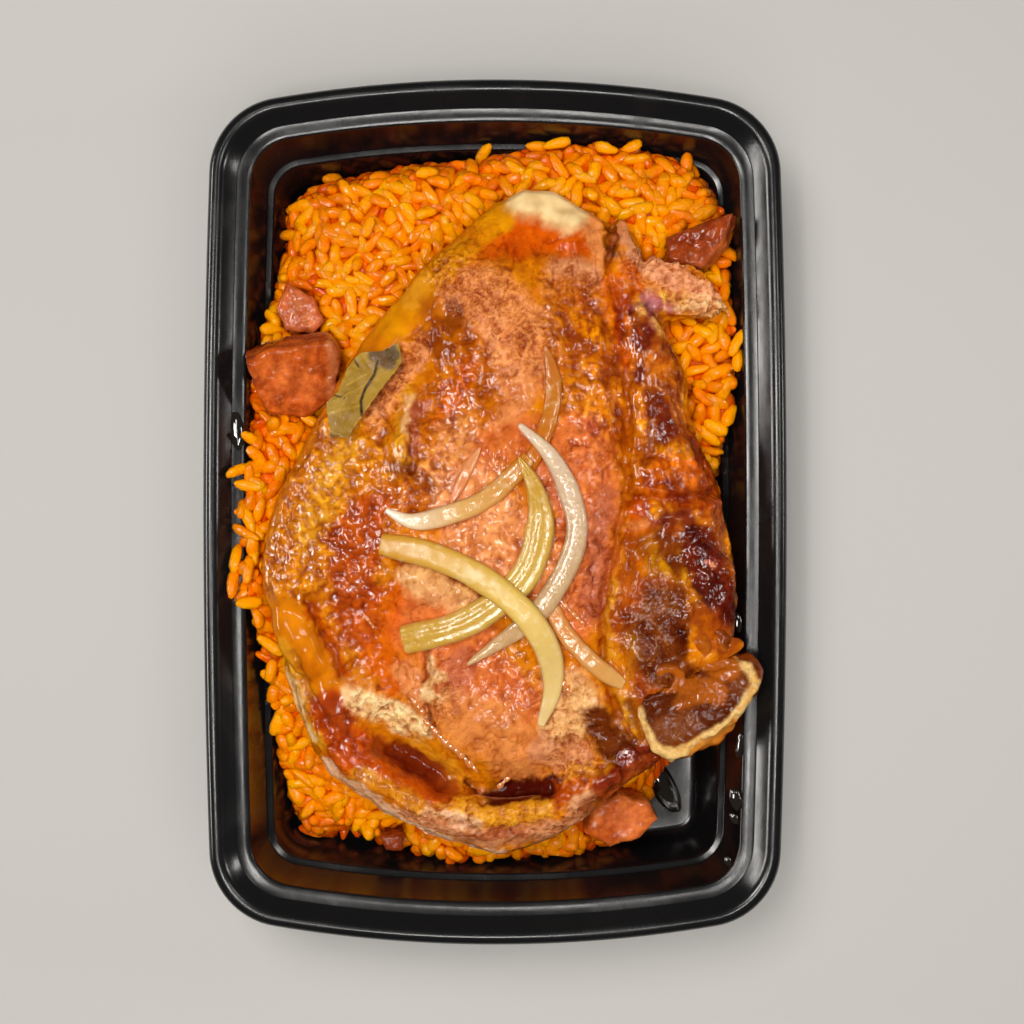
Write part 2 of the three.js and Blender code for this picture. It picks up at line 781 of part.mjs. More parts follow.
const stack = [chopGeometry];
ONION_STRIPS.forEach((strip, i) => {
  const geometry = stripGeometry(strip, topOf(stack));
  stack.push(geometry);
  food.add(mesh("onion_strip_" + (i + 1), geometry, LOOKS.onion));
});
food.add(mesh("bay_leaf", leafGeometry(topOf([chopGeometry])), LOOKS.leaf));
HAMS.forEach((ham, i) => food.add(hamMesh(ham, "ham_cube_" + (i + 1), 0)));

export default meal;
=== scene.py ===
"""The looks of a rice meal in a black tray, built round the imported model.

Rice grains, a braised pork chop with its bone, onion strips, a bay leaf piece, ham cubes and the
oily tray are made here as fine meshes with node materials. Settings and finished meshes are in
metres. Routes, tables, names ending in _MM and the arrays in which shapes are worked out hold
millimetres, with X towards the bone side of the chop and Y along the tray.
"""

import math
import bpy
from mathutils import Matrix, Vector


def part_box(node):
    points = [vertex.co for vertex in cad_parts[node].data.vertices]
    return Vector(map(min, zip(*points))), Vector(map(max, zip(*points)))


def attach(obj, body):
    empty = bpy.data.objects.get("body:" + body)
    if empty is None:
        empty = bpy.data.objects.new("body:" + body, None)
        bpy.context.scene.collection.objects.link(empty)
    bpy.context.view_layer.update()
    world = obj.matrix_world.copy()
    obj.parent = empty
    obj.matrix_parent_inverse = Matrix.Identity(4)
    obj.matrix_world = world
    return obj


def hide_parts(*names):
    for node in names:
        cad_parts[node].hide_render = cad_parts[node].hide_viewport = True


bl_info = {
    "name": "Rice meal in a tray",
    "version": (1, 0, 0),
    "blender": (4, 5, 0),
    "location": "View3D > Sidebar > Meal",
    "description": "Builds a tray of seasoned rice with a braised pork chop",
    "category": "Object",
}

import bpy
import numpy as np
from mathutils import Vector
from mathutils.bvhtree import BVHTree

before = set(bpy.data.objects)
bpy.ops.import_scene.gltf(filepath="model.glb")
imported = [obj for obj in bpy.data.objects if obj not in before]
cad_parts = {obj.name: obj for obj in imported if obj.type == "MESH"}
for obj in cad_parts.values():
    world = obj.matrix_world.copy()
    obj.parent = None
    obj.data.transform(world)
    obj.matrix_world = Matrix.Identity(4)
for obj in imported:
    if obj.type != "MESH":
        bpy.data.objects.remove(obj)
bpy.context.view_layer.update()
BODY = "root"
MM = 0.001
SPLINE_STEPS = 24  # between two given points of a route


# ---- noise and distances over arrays of points ----


def lattice_noise(points, seed):
    """Smooth noise, about -1 to 1, with bumps one unit apart; the key's factors only scramble."""
    cell = np.floor(points).astype(np.int64)
    part = points - cell
    ease = part**3 * (part * (part * 6 - 15) + 10)
    total = np.zeros(len(points))
    for corner in np.ndindex(2, 2, 2):
        place = cell + corner
        key = place[:, 0] * 73856093 ^ place[:, 1] * 19349663 ^ place[:, 2] * 83492791 ^ seed * 9176
        key = (key ^ (key >> 13)) * 1274126177 & 0xFFFFFFFF
        key ^= key >> 15
        slope = np.stack([key & 1023, key >> 10 & 1023, key >> 20 & 1023], 1) / 511.5 - 1
        weight = np.prod(np.where(corner, ease, 1 - ease), 1)
        total += weight * ((part - corner) * slope).sum(1)
    return total * 1.5


def rough_noise(points_mm, size_mm, seed, octaves=3):
    """Noise in layers: bumps of size_mm, then of half that, and so on."""
    return sum(lattice_noise(points_mm * 2**k / size_mm, seed + k) / 2**k for k in range(octaves))


def route_distance(points, route):
    """The distance of each point from a route of straight runs."""
    nearest = np.full(len(points), np.inf)
    for start, end in zip(route[:-1], route[1:]):
        start, run = np.array(start, float), np.subtract(end, start)
        along = np.clip((points - start) @ run / max(run @ run, 1e-9), 0, 1)
        nearest = np.minimum(nearest, np.linalg.norm(points - start - along[:, None] * run, axis=1))
    return nearest


def soft_band(distance, half_width):
    """1 on a route, and fading to 0 within about two half widths of it."""
    return np.exp(-((distance / half_width) ** 2))


def smooth_route(points, count):
    """Points spread evenly along a smooth curve through the given ones."""
    points = np.array(points, float)
    ends = np.vstack([2 * points[0] - points[1], points, 2 * points[-1] - points[-2]])
    t = np.linspace(0, 1, SPLINE_STEPS, endpoint=False)[:, None]
    fine = []
    for a, b, c, d in zip(ends[:-3], ends[1:-2], ends[2:-1], ends[3:]):
        square, cube = 2 * a - 5 * b + 4 * c - d, 3 * b - a - 3 * c + d
        fine.append(0.5 * (2 * b + (c - a) * t + square * t**2 + cube * t**3))
    fine = np.vstack([*fine, points[-1:]])
    steps = np.concatenate([[0], np.linalg.norm(np.diff(fine, axis=0), axis=1).cumsum()])
    wanted = np.linspace(0, steps[-1], count)
    return np.stack([np.interp(wanted, steps, fine[:, k]) for k in range(points.shape[1])], 1)


# ---- meshes ----


def tube_faces(rings, size, flip=False):
    """Quads between rings of points, and fans to the two middles that come after the rings."""
    turn = np.arange(size)
    onward = (turn + 1) % size
    first, last = rings * size, (rings - 1) * size
    faces = []
    for here in range(0, last, size):
        there = here + size
        faces += np.stack([here + turn, there + turn, there + onward, here + onward], 1).tolist()
    for a, b in zip(turn.tolist(), onward.tolist()):
        faces += [[first, a, b], [first + 1, last + b, last + a]]
    return [face[:1] + face[:0:-1] for face in faces] if flip else faces


def new_piece(name, points, faces):
    """A mesh object from points in metres and a list or array of faces."""
    mesh = bpy.data.meshes.new(name)
    mesh.from_pydata(np.asarray(points).tolist(), [], [[int(i) for i in face] for face in faces])
    mesh.shade_smooth()
    mesh.update()
    piece = bpy.data.objects.new(name, mesh)
    bpy.context.scene.collection.objects.link(piece)
    return piece


def points_of(piece):
    points = np.empty(len(piece.data.vertices) * 3, np.float32)
    piece.data.vertices.foreach_get("co", points)
    return points.reshape(-1, 3).astype(float)


def normals_of(piece):
    normals = np.empty(len(piece.data.vertices) * 3, np.float32)
    piece.data.vertex_normals.foreach_get("vector", normals)
    return normals.reshape(-1, 3).astype(float)


def move_points(piece, points):
    piece.data.vertices.foreach_set("co", points.astype(np.float32).ravel())
    piece.data.update()


def mark(piece, name, values):
    """Stores a number or a colour for each point, for the material to read."""
    values = np.asarray(values, np.float32)
    if values.ndim == 1:
        piece.data.attributes.new(name, "FLOAT", "POINT").data.foreach_set("value", values)
    else:
        colours = np.hstack([values, np.ones((len(values), 1), np.float32)])
        piece.data.attributes.new(name, "FLOAT_COLOR", "POINT").data.foreach_set("color", colours.ravel())


def modified(piece, *modifiers):
    """The piece with some modifiers applied: each is a type and its settings."""
    for kind, settings in modifiers:
        modifier = piece.modifiers.new(kind, kind)
        for key, value in settings.items():
            setattr(modifier, key, value)
    bpy.context.view_layer.update()
    done = bpy.data.meshes.new_from_object(piece.evaluated_get(bpy.context.evaluated_depsgraph_get()))
    piece.modifiers.clear()
    piece.data = done
    done.shade_smooth()
    return piece


def copy_of_node(node, name):
    """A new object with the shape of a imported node."""
    piece = bpy.data.objects.new(name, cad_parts[node].data.copy())
    piece.data.materials.clear()
    for attribute in [a.name for a in piece.data.attributes if a.name.startswith(("UV", "Color"))]:
        piece.data.attributes.remove(piece.data.attributes[attribute])
    bpy.context.scene.collection.objects.link(piece)
    return piece


def even_skin(piece, voxel, rounds):
    """The piece as one even fine mesh with its edges softened."""
    return modified(
        piece,
        ("REMESH", {"mode": "VOXEL", "voxel_size": voxel}),
        ("SMOOTH", {"factor": 0.5, "iterations": rounds}),
    )


def joined(name, shapes):
    """Shapes in millimetres, each its points and faces, as one piece."""
    points, faces, start = [], [], 0
    for shape_points, shape_faces in shapes:
        faces += [[start + i for i in face] for face in shape_faces]
        points.append(shape_points)
        start += len(shape_points)
    return new_piece(name, np.vstack(points) * MM, faces)


def tree_of(mesh):
    return BVHTree.FromPolygons([v.co[:] for v in mesh.vertices], [p.vertices[:] for p in mesh.polygons])


def heights(tree, places, upward=False):
    """The highest point of a shape over each place, or the lowest where upward; NaN off it."""
    start, step = (-0.1, 1) if upward else (0.2, -1)
    found = np.full(len(places), np.nan)
    for i, (x, y) in enumerate(places):
        hit = tree.ray_cast(Vector((x, y, start)), Vector((0, 0, step)))[0]
        if hit:
            found[i] = hit.z
    return found


def set_in(piece, material, slot, *nodes):
    """Hangs a finished piece on the model: body, finish and the nodes that it stands for."""
    piece.data.materials.append(material)
    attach(piece, BODY)
    if nodes:
        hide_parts(*nodes)


# ---- materials ----


class Value:
    """A socket's number in an expression: each operation adds its Math node."""

    def __init__(self, look, socket):
        self.look = look
        self.socket = socket

    def math(self, operation, *operands):
        made = self.look.node("ShaderNodeMath", {"operation": operation}, dict(enumerate(operands)))
        return Value(self.look, made.outputs[0])

    def __add__(self, other):
        return self.math("ADD", self, other)

    def __rsub__(self, other):
        return self.math("SUBTRACT", other, self)

    def __mul__(self, other):
        return self.math("MULTIPLY", self, other)

    __radd__ = __add__
    __rmul__ = __mul__

    def between(self, low, high):
        """0 below low, 1 above high and smooth in between."""
        settings = {"interpolation_type": "SMOOTHSTEP"}
        sockets = {"Value": self, "From Min": low, "From Max": high}
        return Value(self.look, self.look.node("ShaderNodeMapRange", settings, sockets).outputs[0])


class Look:
    """A material round one Principled shader."""

    def __init__(self, name, **uniform):
        self.material = bpy.data.materials.new(name)
        self.material.use_nodes = True
        self.tree = self.material.node_tree
        self.shader = self.tree.nodes["Principled BSDF"]
        self.places = self.node("ShaderNodeTexCoord").outputs["Object"]
        for key, value in uniform.items():
            self.shader.inputs[key.replace("_", " ")].default_value = value

    def node(self, kind, settings=None, sockets=None):
        """A node of a type, with its settings and then its sockets' values or links."""
        made = self.tree.nodes.new(kind)
        for key, value in (settings or {}).items():
            setattr(made, key, value)
        for key, value in (sockets or {}).items():
            self.feed(made.inputs[key], value)
        return made

    def feed(self, socket, value):
        if isinstance(value, Value):
            value = value.socket
        if isinstance(value, bpy.types.NodeSocket):
            self.tree.links.new(value, socket)
        elif hasattr(value, "__len__") and len(value) == 3 and socket.type == "RGBA":
            socket.default_value = (*value, 1)
        else:
            socket.default_value = value

    def set(self, name, value):
        self.feed(self.shader.inputs[name], value)

    def read(self, attribute):
        """A number stored at the points of the mesh."""
        return Value(self, self.node("ShaderNodeAttribute", {"attribute_name": attribute}).outputs["Fac"])

    def read_colour(self, attribute):
        return self.node("ShaderNodeAttribute", {"attribute_name": attribute}).outputs["Color"]

    def noise(self, size, detail=3.0, distortion=0.0, stretch=None):
        """Cloudy noise, 0 to 1, with blots of a size in metres."""
        places = self.places
        if stretch:
            places = self.node("ShaderNodeMapping", None, {"Vector": places, "Scale": stretch}).outputs[0]
        sockets = {"Vector": places, "Scale": 1 / size, "Detail": detail, "Distortion": distortion}
        return Value(self, self.node("ShaderNodeTexNoise", None, sockets).outputs["Fac"])

    def cells(self, size):
        """The distance, in parts of a size in metres, to the nearest of scattered and shaken points."""
        sockets = {"Vector": self.places, "Scale": 0.6 / size}
        shake = self.node("ShaderNodeTexNoise", None, sockets).outputs["Color"]
        sockets = {0: shake, 1: (size * 1.6,) * 3, 2: self.places}
        places = self.node("ShaderNodeVectorMath", {"operation": "MULTIPLY_ADD"}, sockets).outputs[0]
        sockets = {"Vector": places, "Scale": 1 / size}
        return Value(self, self.node("ShaderNodeTexVoronoi", None, sockets).outputs["Distance"])

    def mix(self, share, first, second, blend="MIX"):
        """A colour between two, or one laid over the other."""
        settings = {"data_type": "RGBA", "blend_type": blend}
        factor, colour, other = 0, 6, 7  # the sockets that a Mix node uses for colours
        sockets = {factor: share, colour: first, other: second}
        return self.node("ShaderNodeMix", settings, sockets).outputs[2]

    def bump(self, height, depth):
        """Feeds a height, in units of depth metres, to the shader's normal."""
        sockets = {"Height": height, "Distance": depth}
        self.set("Normal", self.node("ShaderNodeBump", None, sockets).outputs[0])


def linear(red, green, blue):
    """A colour as it is read off a screen, 0 to 255, as the linear one that shaders take."""
    parts = np.array([red, green, blue]) / 255
    return tuple(np.where(parts <= 0.04045, parts / 12.92, ((parts + 0.055) / 1.055) ** 2.4))


# ---- tray ----

# The upper face of the tray in section, from the floor out over the ledges and the lip to the foot of
# the skirt: inset from the outline and height, in millimetres.
TRAY_SECTION_MM = [
    (24.0, 0.8), (20.5, 0.8), (19.4, 0.95), (18.6, 1.5), (18.0, 2.5), (17.7, 3.4), (14.62, 19.3),
    (14.45, 19.75), (14.1, 20.0), (12.9, 20.0), (12.66, 20.2), (10.55, 35.2), (10.4, 35.75), (10.0, 36.0),
    (9.1, 36.05), (8.9, 36.1), (7.1, 36.1), (6.75, 36.3), (4.3, 38.9), (3.75, 39.4), (3.2, 39.72),
    (2.5, 39.95), (1.7, 39.95), (1.0, 39.7), (0.45, 39.2), (0.12, 38.5), (0.0, 37.6), (0.0, 34.5),
]
TRAY_WALL_MM = 0.8
# The outline's radii: nearly straight sides, bowed ends and round corners.
SIDE_BOW_MM = 2500.0
END_BOW_MM = 340.0
CORNER_MM = 20.0
CORNER_SHRINK = 0.8  # how much a corner's radius loses for each millimetre of inset
SIDE_STEPS, CORNER_STEPS, END_STEPS = 12, 18, 14  # for a quarter of the outline


def circles_meet(first, first_radius, second, second_radius):
    """The point with positive x and y where two circles meet."""
    between = second - first
    distance = np.linalg.norm(between)
    along = (first_radius**2 - second_radius**2 + distance**2) / (2 * distance)
    aside = math.sqrt(first_radius**2 - along**2)
    direction = between / distance
    normal = np.array([-direction[1], direction[0]])
    meets = [first + along * direction + sign * aside * normal for sign in (1, -1)]
    return next(point for point in meets if (point > 0).all())


def arc(centre, radius, low, high, steps):
    angles = np.linspace(low, high, steps + 1)[:, None]
    return centre + radius * np.hstack([np.cos(angles), np.sin(angles)])


def tray_ring(width, length, inset):
    """The tray's outline, in millimetres, drawn in by an inset."""
    side_centre = np.array([width / 2 - SIDE_BOW_MM, 0])
    end_centre = np.array([0, length / 2 - END_BOW_MM])
    radius = CORNER_MM - CORNER_SHRINK * inset
    side, end = SIDE_BOW_MM - inset, END_BOW_MM - inset
    corner = circles_meet(side_centre, side - radius, end_centre, end - radius)
    low = math.atan2(*(corner - side_centre)[::-1])
    high = math.atan2(*(corner - end_centre)[::-1])
    quarter = np.vstack([
        arc(side_centre, side, 0, low, SIDE_STEPS),
        arc(corner, radius, low, high, CORNER_STEPS)[1:],
        arc(end_centre, end, high, math.pi / 2, END_STEPS)[1:],
    ])
    turned = [quarter * (x, y) for x, y in ((1, 1), (-1, 1), (-1, -1), (1, -1))]
    return np.vstack([turned[0][:-1], turned[1][::-1][:-1], turned[2][:-1], turned[3][::-1][:-1]])


def shifted_section(section, distance):
    """The section moved to its underside by a distance."""
    section = np.array(section)
    runs = np.diff(section, axis=0)
    normals = np.stack([runs[:, 1], -runs[:, 0]], 1) / np.linalg.norm(runs, axis=1)[:, None]
    before = np.vstack([normals[:1], normals])
    after = np.vstack([normals, normals[-1:]])
    mitre = before + after
    mitre /= np.linalg.norm(mitre, axis=1)[:, None]
    return section - mitre * (distance / (mitre * before).sum(1))[:, None]


def tray_mesh():
    """The tray's section, top and underside, carried round its outline."""
    low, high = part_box("tray")
    width, length = (high.x - low.x) / MM, (high.y - low.y) / MM
    under = shifted_section(TRAY_SECTION_MM, TRAY_WALL_MM)
    under[:, 1] = np.maximum(under[:, 1], 0)
    section = [*TRAY_SECTION_MM, *under[::-1]]
    rings = [np.insert(tray_ring(width, length, inset), 2, level, 1) for inset, level in section]
    points = np.vstack([*rings, [[0, 0, section[0][1]], [0, 0, section[-1][1]]]])
    return points * MM, tube_faces(len(rings), len(rings[0]))


def tray_look(colour):
    look = Look("Black moulded plastic", Base_Color=(*colour, 1), IOR=1.49)
    smears = look.noise(0.02, 4, 0.6).between(0.45, 0.7)
    brushing = look.noise(0.0006, 2, stretch=(1, 0.06, 1))
    look.set("Roughness", 0.14 + smears * 0.12 + brushing * 0.1)
    look.bump(look.noise(0.004, 2), 0.00003)
    return look.material


class TraySettings(bpy.types.PropertyGroup):
    """The tray's finish."""

    colour: bpy.props.FloatVectorProperty(
        name="Plastic", description="Colour of the moulded plastic", subtype="COLOR",
        default=(0.006, 0.006, 0.0065),
    )


class MEAL_OT_tray(bpy.types.Operator):
    """Make the black tray with its lip and two ledges"""

    bl_idname = "meal.tray"
    bl_label = "Tray"

    def execute(self, context):
        look = tray_look(context.scene.meal_tray.colour)
        set_in(new_piece("Tray", *tray_mesh()), look, "tray", "tray")
        return {"FINISHED"}


# ---- rice ----

GRAIN_RINGS = 7
GRAIN_SIDES = 8
MOST_GRAINS = 2450  # 80 triangles a grain, and at most 196,000 in all
MAP_STEP_MM = 0.3  # the grid on which the heap is built up
COARSE = 4  # steps of that grid between the places where a mesh is measured
RICE_SEED = 7
EVENED, EDGE_REACH = 5, 9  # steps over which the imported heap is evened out, and its edge found
LOWEST_HEAP_MM = 4  # no heap is wanted where it would be lower than this
# The first layer, along the core: how many at most, how far apart and how far off the core.
FIRST_GRAINS = 2500
FIRST_GAP_MM = 2.5
FIRST_RISE_MM = 0.7
FIRST_LOWEST_MM = 2.2
# The loose grains: places tried for each, how much they lean in radians, what part of the cells
# under one may stick out into it, how far it sinks in, how far it may press into what lies on the
# rice, how much of it may lie past the heap's edge and how far it may rise over the wanted height.
CHANCES = 5
LEAN = 0.42
CARRIED_PERCENT = 86
SINK_MM = 0.12
SQUEEZE_MM = 0.9
PAST_EDGE = 0.4
HIGHEST_MM = 1.1
# A grain is kept where this part of it lies no more than this far below the finished heap.
SEEN_PART = 0.04
SEEN_DEPTH_MM = 0.15


def grain_shape():
    """One grain along X, 1 long and 1 thick, as points and faces."""
    along = -np.cos(np.linspace(0, math.pi, GRAIN_RINGS))
    girth = (1 - np.abs(along) ** 2.7) ** 0.5
    angles = np.linspace(0, 2 * math.pi, GRAIN_SIDES, endpoint=False)
    rings = [
        np.stack([np.full(GRAIN_SIDES, a), g * np.cos(angles), g * np.sin(angles)], 1)
        for a, g in zip(along[1:-1], girth[1:-1])
    ]
    points = np.vstack([*rings, [[-1, 0, 0], [1, 0, 0]]]) / 2
    faces = tube_faces(len(rings), GRAIN_SIDES, flip=True)
    triangles = [[face[0], *face[k:k + 2]] for face in faces for k in range(1, len(face) - 1)]
    return points, np.array(triangles)


class HeightMap:
    """Heights in millimetres on an even grid over the tray."""

    def __init__(self, low, high, step):
        self.low = np.array(low, float)
        self.step = step
        self.shape = tuple(np.ceil((np.array(high) - low) / step).astype(int) + 1)
        axes = [self.low[k] + step * np.arange(self.shape[k]) for k in (0, 1)]
        self.places = np.stack(np.meshgrid(*axes, indexing="ij"), 2)

    def sample(self, mesh, upward=False):
        """A mesh's heights, cast on a coarser grid and spread out."""
        places = self.places[::COARSE, ::COARSE]
        found = heights(tree_of(mesh), places.reshape(-1, 2) * MM, upward) / MM
        grid = found.reshape(places.shape[:2]).repeat(COARSE, 0).repeat(COARSE, 1)
        return grid[: self.shape[0], : self.shape[1]]


def blurred(grid, reach):
    """A grid with missing cells, averaged over a square, and how much of each square is known."""
    known = ~np.isnan(grid)
    sums = []
    for layer in (np.where(known, grid, 0.0), known.astype(float)):
        for axis in (0, 1):
            pad = [(reach + 1, reach) if k == axis else (0, 0) for k in (0, 1)]
            total = np.cumsum(np.pad(layer, pad, mode="edge"), axis=axis)
            size = layer.shape[axis]
            upper = np.take(total, np.arange(2 * reach + 1, 2 * reach + 1 + size), axis)
            lower = np.take(total, np.arange(size), axis)
            layer = (upper - lower) / (2 * reach + 1)
        sums.append(layer)
    return sums[0] / np.maximum(sums[1], 1e-6), sums[1]


class HeapMaker:
    """Lays grains one after another on a map of the heap's height until it is as high as wanted."""

    def __init__(self, settings, core):
        self.random = np.random.default_rng(RICE_SEED)
        self.half = np.array([settings.grain_length, settings.grain_girth]) / (2 * MM)
        low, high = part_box("tray")
        self.map = HeightMap(np.array(low[:2]) / MM, np.array(high[:2]) / MM, MAP_STEP_MM)
        packed = self.map.sample(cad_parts["rice"].data)
        smooth = blurred(packed, EVENED)[0]
        places = np.pad(self.map.places.reshape(-1, 2), ((0, 0), (0, 1)))
        lumps = 3.0 * rough_noise(places, 6.5, 9, 2).reshape(self.map.shape)
        ragged = 0.52 + 0.7 * rough_noise(places, 7, 19, 2).reshape(self.map.shape)
        wanted = np.where(blurred(packed, EDGE_REACH)[1] > ragged, smooth + 0.3 + lumps, np.nan)
        self.wanted = np.where(wanted < LOWEST_HEAP_MM, np.nan, wanted)
        self.over = np.full(self.map.shape, np.nan)
        self.clear = np.full(self.map.shape, np.inf)
        for node in ["chop", "chop_bone", *(f"ham_cube_{k}" for k in range(1, 6))]:
            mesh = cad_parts[node].data
            self.over = np.fmax(self.over, self.map.sample(mesh))
            under = self.map.sample(mesh, upward=True)
            self.clear = np.fmin(self.clear, np.where(np.isnan(under), np.inf, under))
        self.heights = np.fmax(self.map.sample(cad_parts["tray"].data), self.map.sample(core.data))
        self.grains = []

    def window(self, x, y, reach):
        """The cells round a place, and how far each is from it."""
        low = np.maximum(((np.array([x, y]) - reach - self.map.low) / self.map.step).astype(int), 0)
        high = ((np.array([x, y]) + reach - self.map.low) / self.map.step).astype(int) + 2
        part = slice(low[0], high[0]), slice(low[1], high[1])
        return part, self.map.places[part] - (x, y)

    def faces_of(self, grain, away):
        """How far the grain's top and bottom lie above its middle over each cell."""
        along, (half_length, half_girth) = grain["along"], grain["half"]
        matrix = np.eye(3) / half_girth**2 + np.outer(along, along) * (half_length**-2 - half_girth**-2)
        x, y = away[..., 0], away[..., 1]
        b = matrix[0, 2] * x + matrix[1, 2] * y
        c = matrix[0, 0] * x * x + 2 * matrix[0, 1] * x * y + matrix[1, 1] * y * y - 1
        root = b * b - matrix[2, 2] * c
        inside = root > 0
        root = np.sqrt(np.where(inside, root, 0))
        return inside, (-b + root) / matrix[2, 2], (-b - root) / matrix[2, 2]

    def new_grain(self, along):
        size = self.half * self.random.uniform((0.76, 0.84), (1.16, 1.14))
        along = np.asarray(along, float)
        return {"along": along / np.linalg.norm(along), "half": size}

    def settle(self, x, y, along):
        """A grain let down at a place until it rests; None where there is no room for it."""
        grain = self.new_grain(along)
        part, away = self.window(x, y, grain["half"][0])
        inside, top, bottom = self.faces_of(grain, away)
        if not inside.any():
            return None
        level = np.percentile((self.heights[part] - bottom)[inside], CARRIED_PERCENT) - SINK_MM
        grain["place"] = np.array([x, y, level])
        blocked = (level + top > self.clear[part] + SQUEEZE_MM) & inside
        goal = self.wanted[part][inside]
        if blocked.any() or np.isnan(goal).mean() > PAST_EDGE:
            return None
        grain["over"] = level + grain["half"][1] - np.nanmean(goal)
        return grain

    def keep(self, grain):
        part, away = self.window(*grain["place"][:2], grain["half"][0])
        inside, top, _ = self.faces_of(grain, away)
        here = self.heights[part]
        here[inside] = np.maximum(here[inside], grain["place"][2] + top[inside])
        self.grains.append(grain)

    def cover_core(self, core):
        """The first layer: grains that lie along the core's own surface, flanks included."""
        points, normals = points_of(core) / MM, normals_of(core)
        taken = np.zeros((0, 3))
        for i in self.random.permutation(len(points)):
            point, normal = points[i], normals[i]
            near = self.window(point[0], point[1], 0.2)[0]
            if normal[2] < -0.15 or point[2] < FIRST_LOWEST_MM or (self.over[near] > point[2]).any():
                continue
            if len(taken) and (np.linalg.norm(taken - point, axis=1) < FIRST_GAP_MM).any():
                continue
            side = np.cross(normal, self.random.normal(size=3))
            grain = self.new_grain(side / np.linalg.norm(side) + self.random.normal(size=3) * 0.15)
            grain["place"] = point + normal * FIRST_RISE_MM
            self.keep(grain)
            taken = np.vstack([taken, point])
            if len(taken) > FIRST_GRAINS:
                break

    def heap_up(self, tries):
        """The layers above: each grain goes where it lies lowest of a few chances."""
        wide = blurred(np.isnan(self.over).astype(float), EVENED)[0] > 0.05
        cells = np.argwhere(~np.isnan(self.wanted) & wide)
        for _ in range(tries):
            best = None
            chosen = cells[self.random.integers(len(cells), size=CHANCES)]
            for x, y in self.map.low + self.map.step * chosen:
                turn = self.random.uniform(0, 2 * math.pi)
                pitch = self.random.normal() * LEAN
                flat = math.cos(pitch)
                grain = self.settle(x, y, (math.cos(turn) * flat, math.sin(turn) * flat, math.sin(pitch)))
                if grain and (best is None or grain["over"] < best["over"]):
                    best = grain
            if best and best["over"] < HIGHEST_MM:
                self.keep(best)

    def seen(self):
        """The grains that still show from above, or lie on a flank."""
        shown = []
        for grain in self.grains:
            part, away = self.window(*grain["place"][:2], grain["half"][0])
            inside, top, _ = self.faces_of(grain, away)
            level = grain["place"][2] + top[inside]
            open_part = (level > self.heights[part][inside] - SEEN_DEPTH_MM).mean()
            # How far the grain lies below the wanted top, which sets its painted shade.
            grain["depth"] = np.nanmean(self.wanted[part][inside]) - grain["place"][2]
            if open_part > SEEN_PART or np.isnan(self.wanted[part][inside]).any():
                shown.append((open_part, grain))
        shown.sort(key=lambda entry: -entry[0])
        return [grain for _, grain in shown[:MOST_GRAINS]]


def grain_mesh(grains, random):
    """All grains as one mesh, with a tone for each and a depth at each point that sets its painted shade."""
    shape, faces = grain_shape()
    along = np.array([g["along"] for g in grains])
    half = np.array([g["half"] for g in grains])
    place = np.array([g["place"] for g in grains])
    side = np.cross(along, random.normal(size=along.shape))
    side /= np.linalg.norm(side, axis=1)[:, None]
    third = np.cross(along, side)
    count = len(grains)
    bend = random.uniform(0.0, 0.8, (count, 1))
    thin = random.uniform(0.76, 1.0, (count, 1))
    lean = random.uniform(-0.3, 0.3, (count, 1))
    x = np.repeat(shape[None, :, 0], count, 0) * 2
    y = shape[None, :, 1] * 2 * (1 + lean * x)
    z = (shape[None, :, 2] * 2 * (1 + lean * x)) * thin + bend * (0.25 - x * x * 0.5)
    points = (
        place[:, None]
        + x[..., None] * along[:, None] * half[:, :1, None]
        + y[..., None] * side[:, None] * half[:, 1:, None]
        + z[..., None] * third[:, None] * half[:, 1:, None]
    ).reshape(-1, 3)
    bumps = rough_noise(points, 2.0, 5, 2)
    outward = points - np.repeat(place, len(shape), 0)
    points += outward / np.linalg.norm(outward, axis=1)[:, None] * bumps[:, None] * 0.34
    every = (faces[None] + len(shape) * np.arange(count)[:, None, None]).reshape(-1, 3)
    tone = np.repeat(random.uniform(0, 1, count), len(shape))
    # Painted shade: a point counts as deeper the lower it lies on its grain, so each grain darkens on its
    # underside.
    underside_shade = np.clip((place[:, None, 2] - points.reshape(count, -1, 3)[..., 2]) / 1.4, -0.4, 1)
    depth = np.array([g["depth"] for g in grains])[:, None] + 1.6 * underside_shade
    return points * MM, every, tone, np.clip((depth.ravel() - 0.6) / 3.2, 0, 1)


def rice_look(name, colour, gap_shade, gloss):
    """Seasoned rice: each grain in its own tone, with painted shade that is darker and blotched the deeper it
    lies.
    """
    look = Look(
        name, Specular_IOR_Level=gloss, IOR=1.45,
        Subsurface_Weight=0.25, Subsurface_Scale=0.0015, Subsurface_Radius=(1.0, 0.4, 0.06),
    )
    tone, depth = look.read("tone"), look.read("depth")
    warm = look.mix(tone.between(0.4, 1.0) * 0.8, colour, linear(252, 128, 0))
    pale = look.mix(look.noise(0.003, 3).between(0.5, 0.75) * 0.6, warm, linear(255, 182, 0))
    # Painted shade: with depth the colour turns to a cell pattern, orange in the cells and the gap shade
    # colour in their seams.
    between = look.cells(0.0034).between(0.25, 0.6)
    under = look.mix(between, linear(248, 122, 0), gap_shade)
    # Rare near-white specks scattered by noise over the grains.
    white_specks = look.noise(0.0013, 1).between(0.76, 0.8)
    look.set("Base Color", look.mix(depth, look.mix(white_specks, pale, linear(255, 236, 190)), under))
    look.set("Roughness", 0.07 + tone * 0.08)
    look.bump(look.noise(0.0018, 1), 0.0005)
    return look.material


